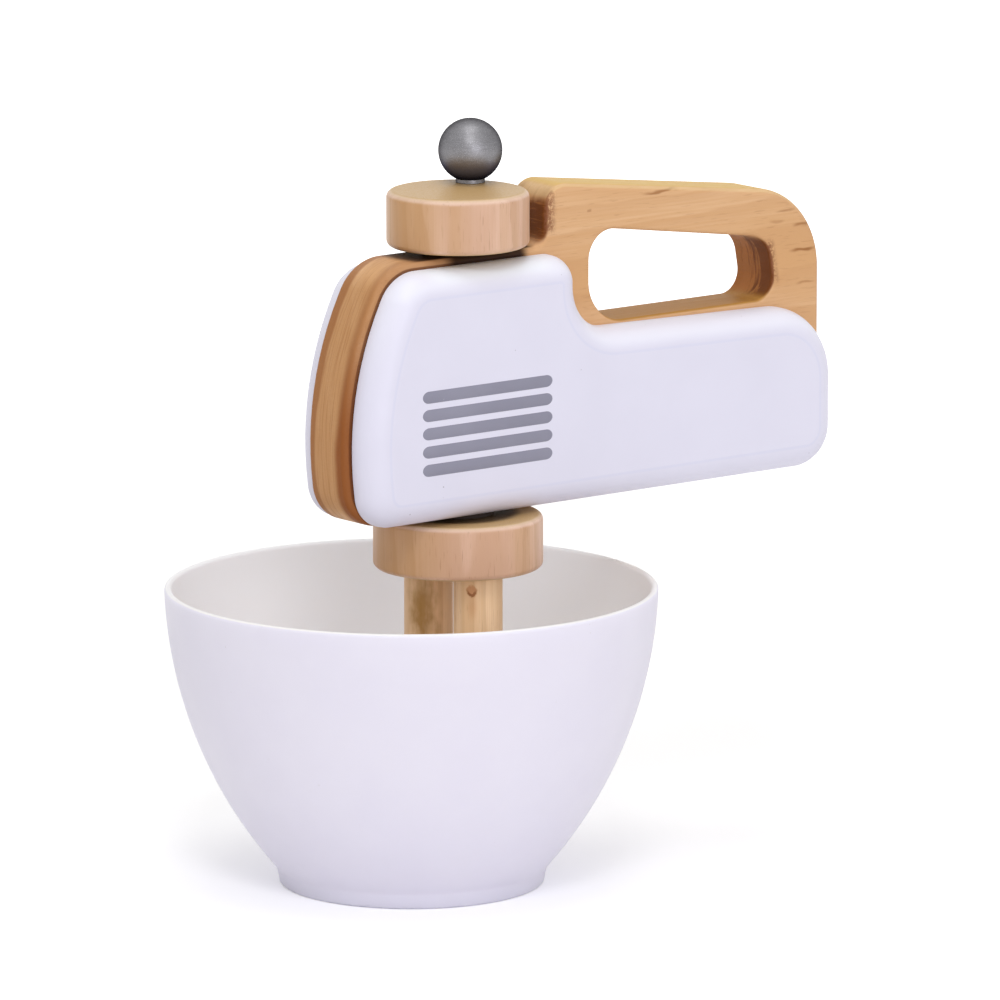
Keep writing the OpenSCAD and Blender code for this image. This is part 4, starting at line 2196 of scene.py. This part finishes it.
    def dress_discs(self) -> None:
        """Builds the crank disc and the head, and gives them and the shaft turned beech."""
        beech = WoodFinish(
            "turned_beech", origin=tuple(shaft_axis()), marks=(TurnedTones(),), pale=paint(226, 189, 166),
            deep=paint(206, 163, 133), late=paint(186, 140, 104), pore=paint(160, 114, 80),
            end=paint(198, 164, 110), heart=(18.0, 34.0, 0.0), ring_width=3.4, wander=8.0, ring_shade_share=0.4,
            fibre_share=0.4, pore_share=0.35, end_share=0.9, roughness=0.33, specular=0.3,
        )
        place_piece(self.build_disc(), Body.CRANK, Slot.TURNED, beech, "crank_disc")
        place_piece(self.build_head(), Body.CRANK, Slot.TURNED, beech, "beater_head")
        coat(frame["nodes"]["drive_shaft"], beech)
        LOG.info("drive_shaft keeps its solid, with %s", beech.name)

    def dress_beaters(self) -> None:
        """Builds the two beaters and gives them pine, one with a knot and one with a stain."""
        marks = {
            Side.LEFT: ("knotted_dowel", Knot(self.knot_place)),
            Side.RIGHT: ("stained_dowel", Stain(self.stain_place)),
        }
        for side, (name, mark) in marks.items():
            pine = WoodFinish(
                name, marks=(mark,), pale=paint(252, 219, 180), deep=paint(233, 193, 147),
                late=paint(196, 150, 98), pore=paint(164, 116, 70), end=paint(206, 164, 112),
                heart=(-30.0, 12.0, 0.0), ring_width=3.4, wander=4.0, ring_shade_share=0.35, pore_share=0.25,
            )
            place_piece(self.build_beater(side), Body.CRANK, Slot.DOWEL, pine, side.named("beater"))

    def dress(self) -> None:
        """Builds the pieces on the shaft and gives them wood, paint and fibre."""
        self.dress_discs()
        place_piece(self.build_knob(), Body.CRANK, Slot.GREY, FlakePaint("grey_flake_paint"), "crank_knob")
        self.dress_beaters()
        fibre = CoatFinish(
            "dark_fibre", colour=paint(62, 50, 44), shade=paint(50, 40, 36), speck=paint(84, 70, 60),
            grain=0.6, depth=0.05, strength=0.5, roughness=0.8,
        )
        for node, body in (("disc_washer", Body.MIXER), ("head_washer", Body.CRANK)):
            place_piece(self.build_washer(node), body, Slot.WASHER, fibre, node)


# The studio

@dataclass(frozen=True)
class Softbox:
    """Large soft lamp that points at the toy."""

    name: str
    place: Triple
    size: float
    watts: float
    colour: Triple = (1.0, 1.0, 1.0)

    def build(self, target: Triple) -> None:
        """Hangs the lamp and points it.

        Args:
            target: Point that it shines on.
        """
        data = bpy.data.lights.new(self.name, "AREA")
        data.shape = "SQUARE"
        data.size = self.size
        data.energy = self.watts
        data.color = self.colour
        lamp = bpy.data.objects.new(self.name, data)
        lamp.location = self.place
        lamp.rotation_euler = (Vector(target) - Vector(self.place)).to_track_quat("-Z", "Y").to_euler()
        bpy.context.scene.collection.objects.link(lamp)


@dataclass(frozen=True)
class Studio:
    """White table, soft lamps and the camera, in metres and degrees."""

    camera_place: Triple = (-1.8482, -2.3671, 0.700)
    camera_pitch: float = 10.95
    camera_heading: float = -38.5
    lens: float = 360.0
    sensor: float = 36.0
    sight: float = 100.0
    target: Triple = (0.02, -0.01, 0.12)
    table_size: float = 14.0
    table_drop: float = 0.00002
    sky: float = 0.64
    sky_tint: Colour = (1.0, 0.99, 0.975, 1.0)
    lamps: Sequence[Softbox] = (
        Softbox("front_softbox", (-0.75, -2.6, 0.8), 1.0, 13.0, (0.98, 0.98, 1.06)),
        Softbox("high_softbox", (-1.1, -1.42, 2.0), 0.6, 11.0),
        Softbox("top_softbox", (-0.1, -0.12, 2.6), 1.2, 12.0),
    )

    def build_camera(self) -> None:
        """Sets the camera at the photograph's viewing angle."""
        data = bpy.data.cameras.new("photo_camera")
        data.lens = self.lens
        data.sensor_width = self.sensor
        data.clip_end = self.sight
        camera = bpy.data.objects.new("photo_camera", data)
        camera.location = self.camera_place
        camera.rotation_euler = (
            math.radians(90.0 - self.camera_pitch), 0.0, math.radians(self.camera_heading)
        )
        bpy.context.scene.collection.objects.link(camera)
        bpy.context.scene.camera = camera

    def build_world(self) -> None:
        """Makes a surrounding that shows white and lights the toy at a lower level."""
        world = bpy.data.worlds.new("studio_world")
        world.use_nodes = True
        graph = Graph(world.node_tree)
        background = world.node_tree.nodes["Background"].inputs
        seen = graph.seen_directly()
        graph.feed(background["Color"], graph.mix(seen, self.sky_tint, WHITE))
        extra = graph.every(seen, 1.0 - self.sky)
        graph.feed(background["Strength"], graph.math("ADD", extra, self.sky))
        bpy.context.scene.world = world

    def build_table(self) -> None:
        """Lays a white table that keeps the toy's shadow."""
        half = self.table_size / 2 / MM
        shape = bmesh.new()
        corners = [(-half, -half), (half, -half), (half, half), (-half, half)]
        shape.faces.new([shape.verts.new((x, y, 0.0)) for x, y in corners])
        table = as_object(shape, "table", Vector((0.0, 0.0, -self.table_drop / MM)))
        coat(table, TableTop("white_table"))

    def build(self) -> None:
        """Builds the studio."""
        bpy.context.scene.view_settings.view_transform = "Standard"
        self.build_camera()
        self.build_world()
        self.build_table()
        for lamp in self.lamps:
            lamp.build(self.target)
        LOG.info("studio built with %d lamps", len(self.lamps))


def main() -> None:
    """Builds the studio and the toy."""
    logging.basicConfig(level=logging.INFO, format="%(name)s: %(message)s")
    Studio().build()
    MixingBowl().dress()
    MixerBody().dress()
    CrankDrive().dress()


if __name__ == "__main__":
    main()
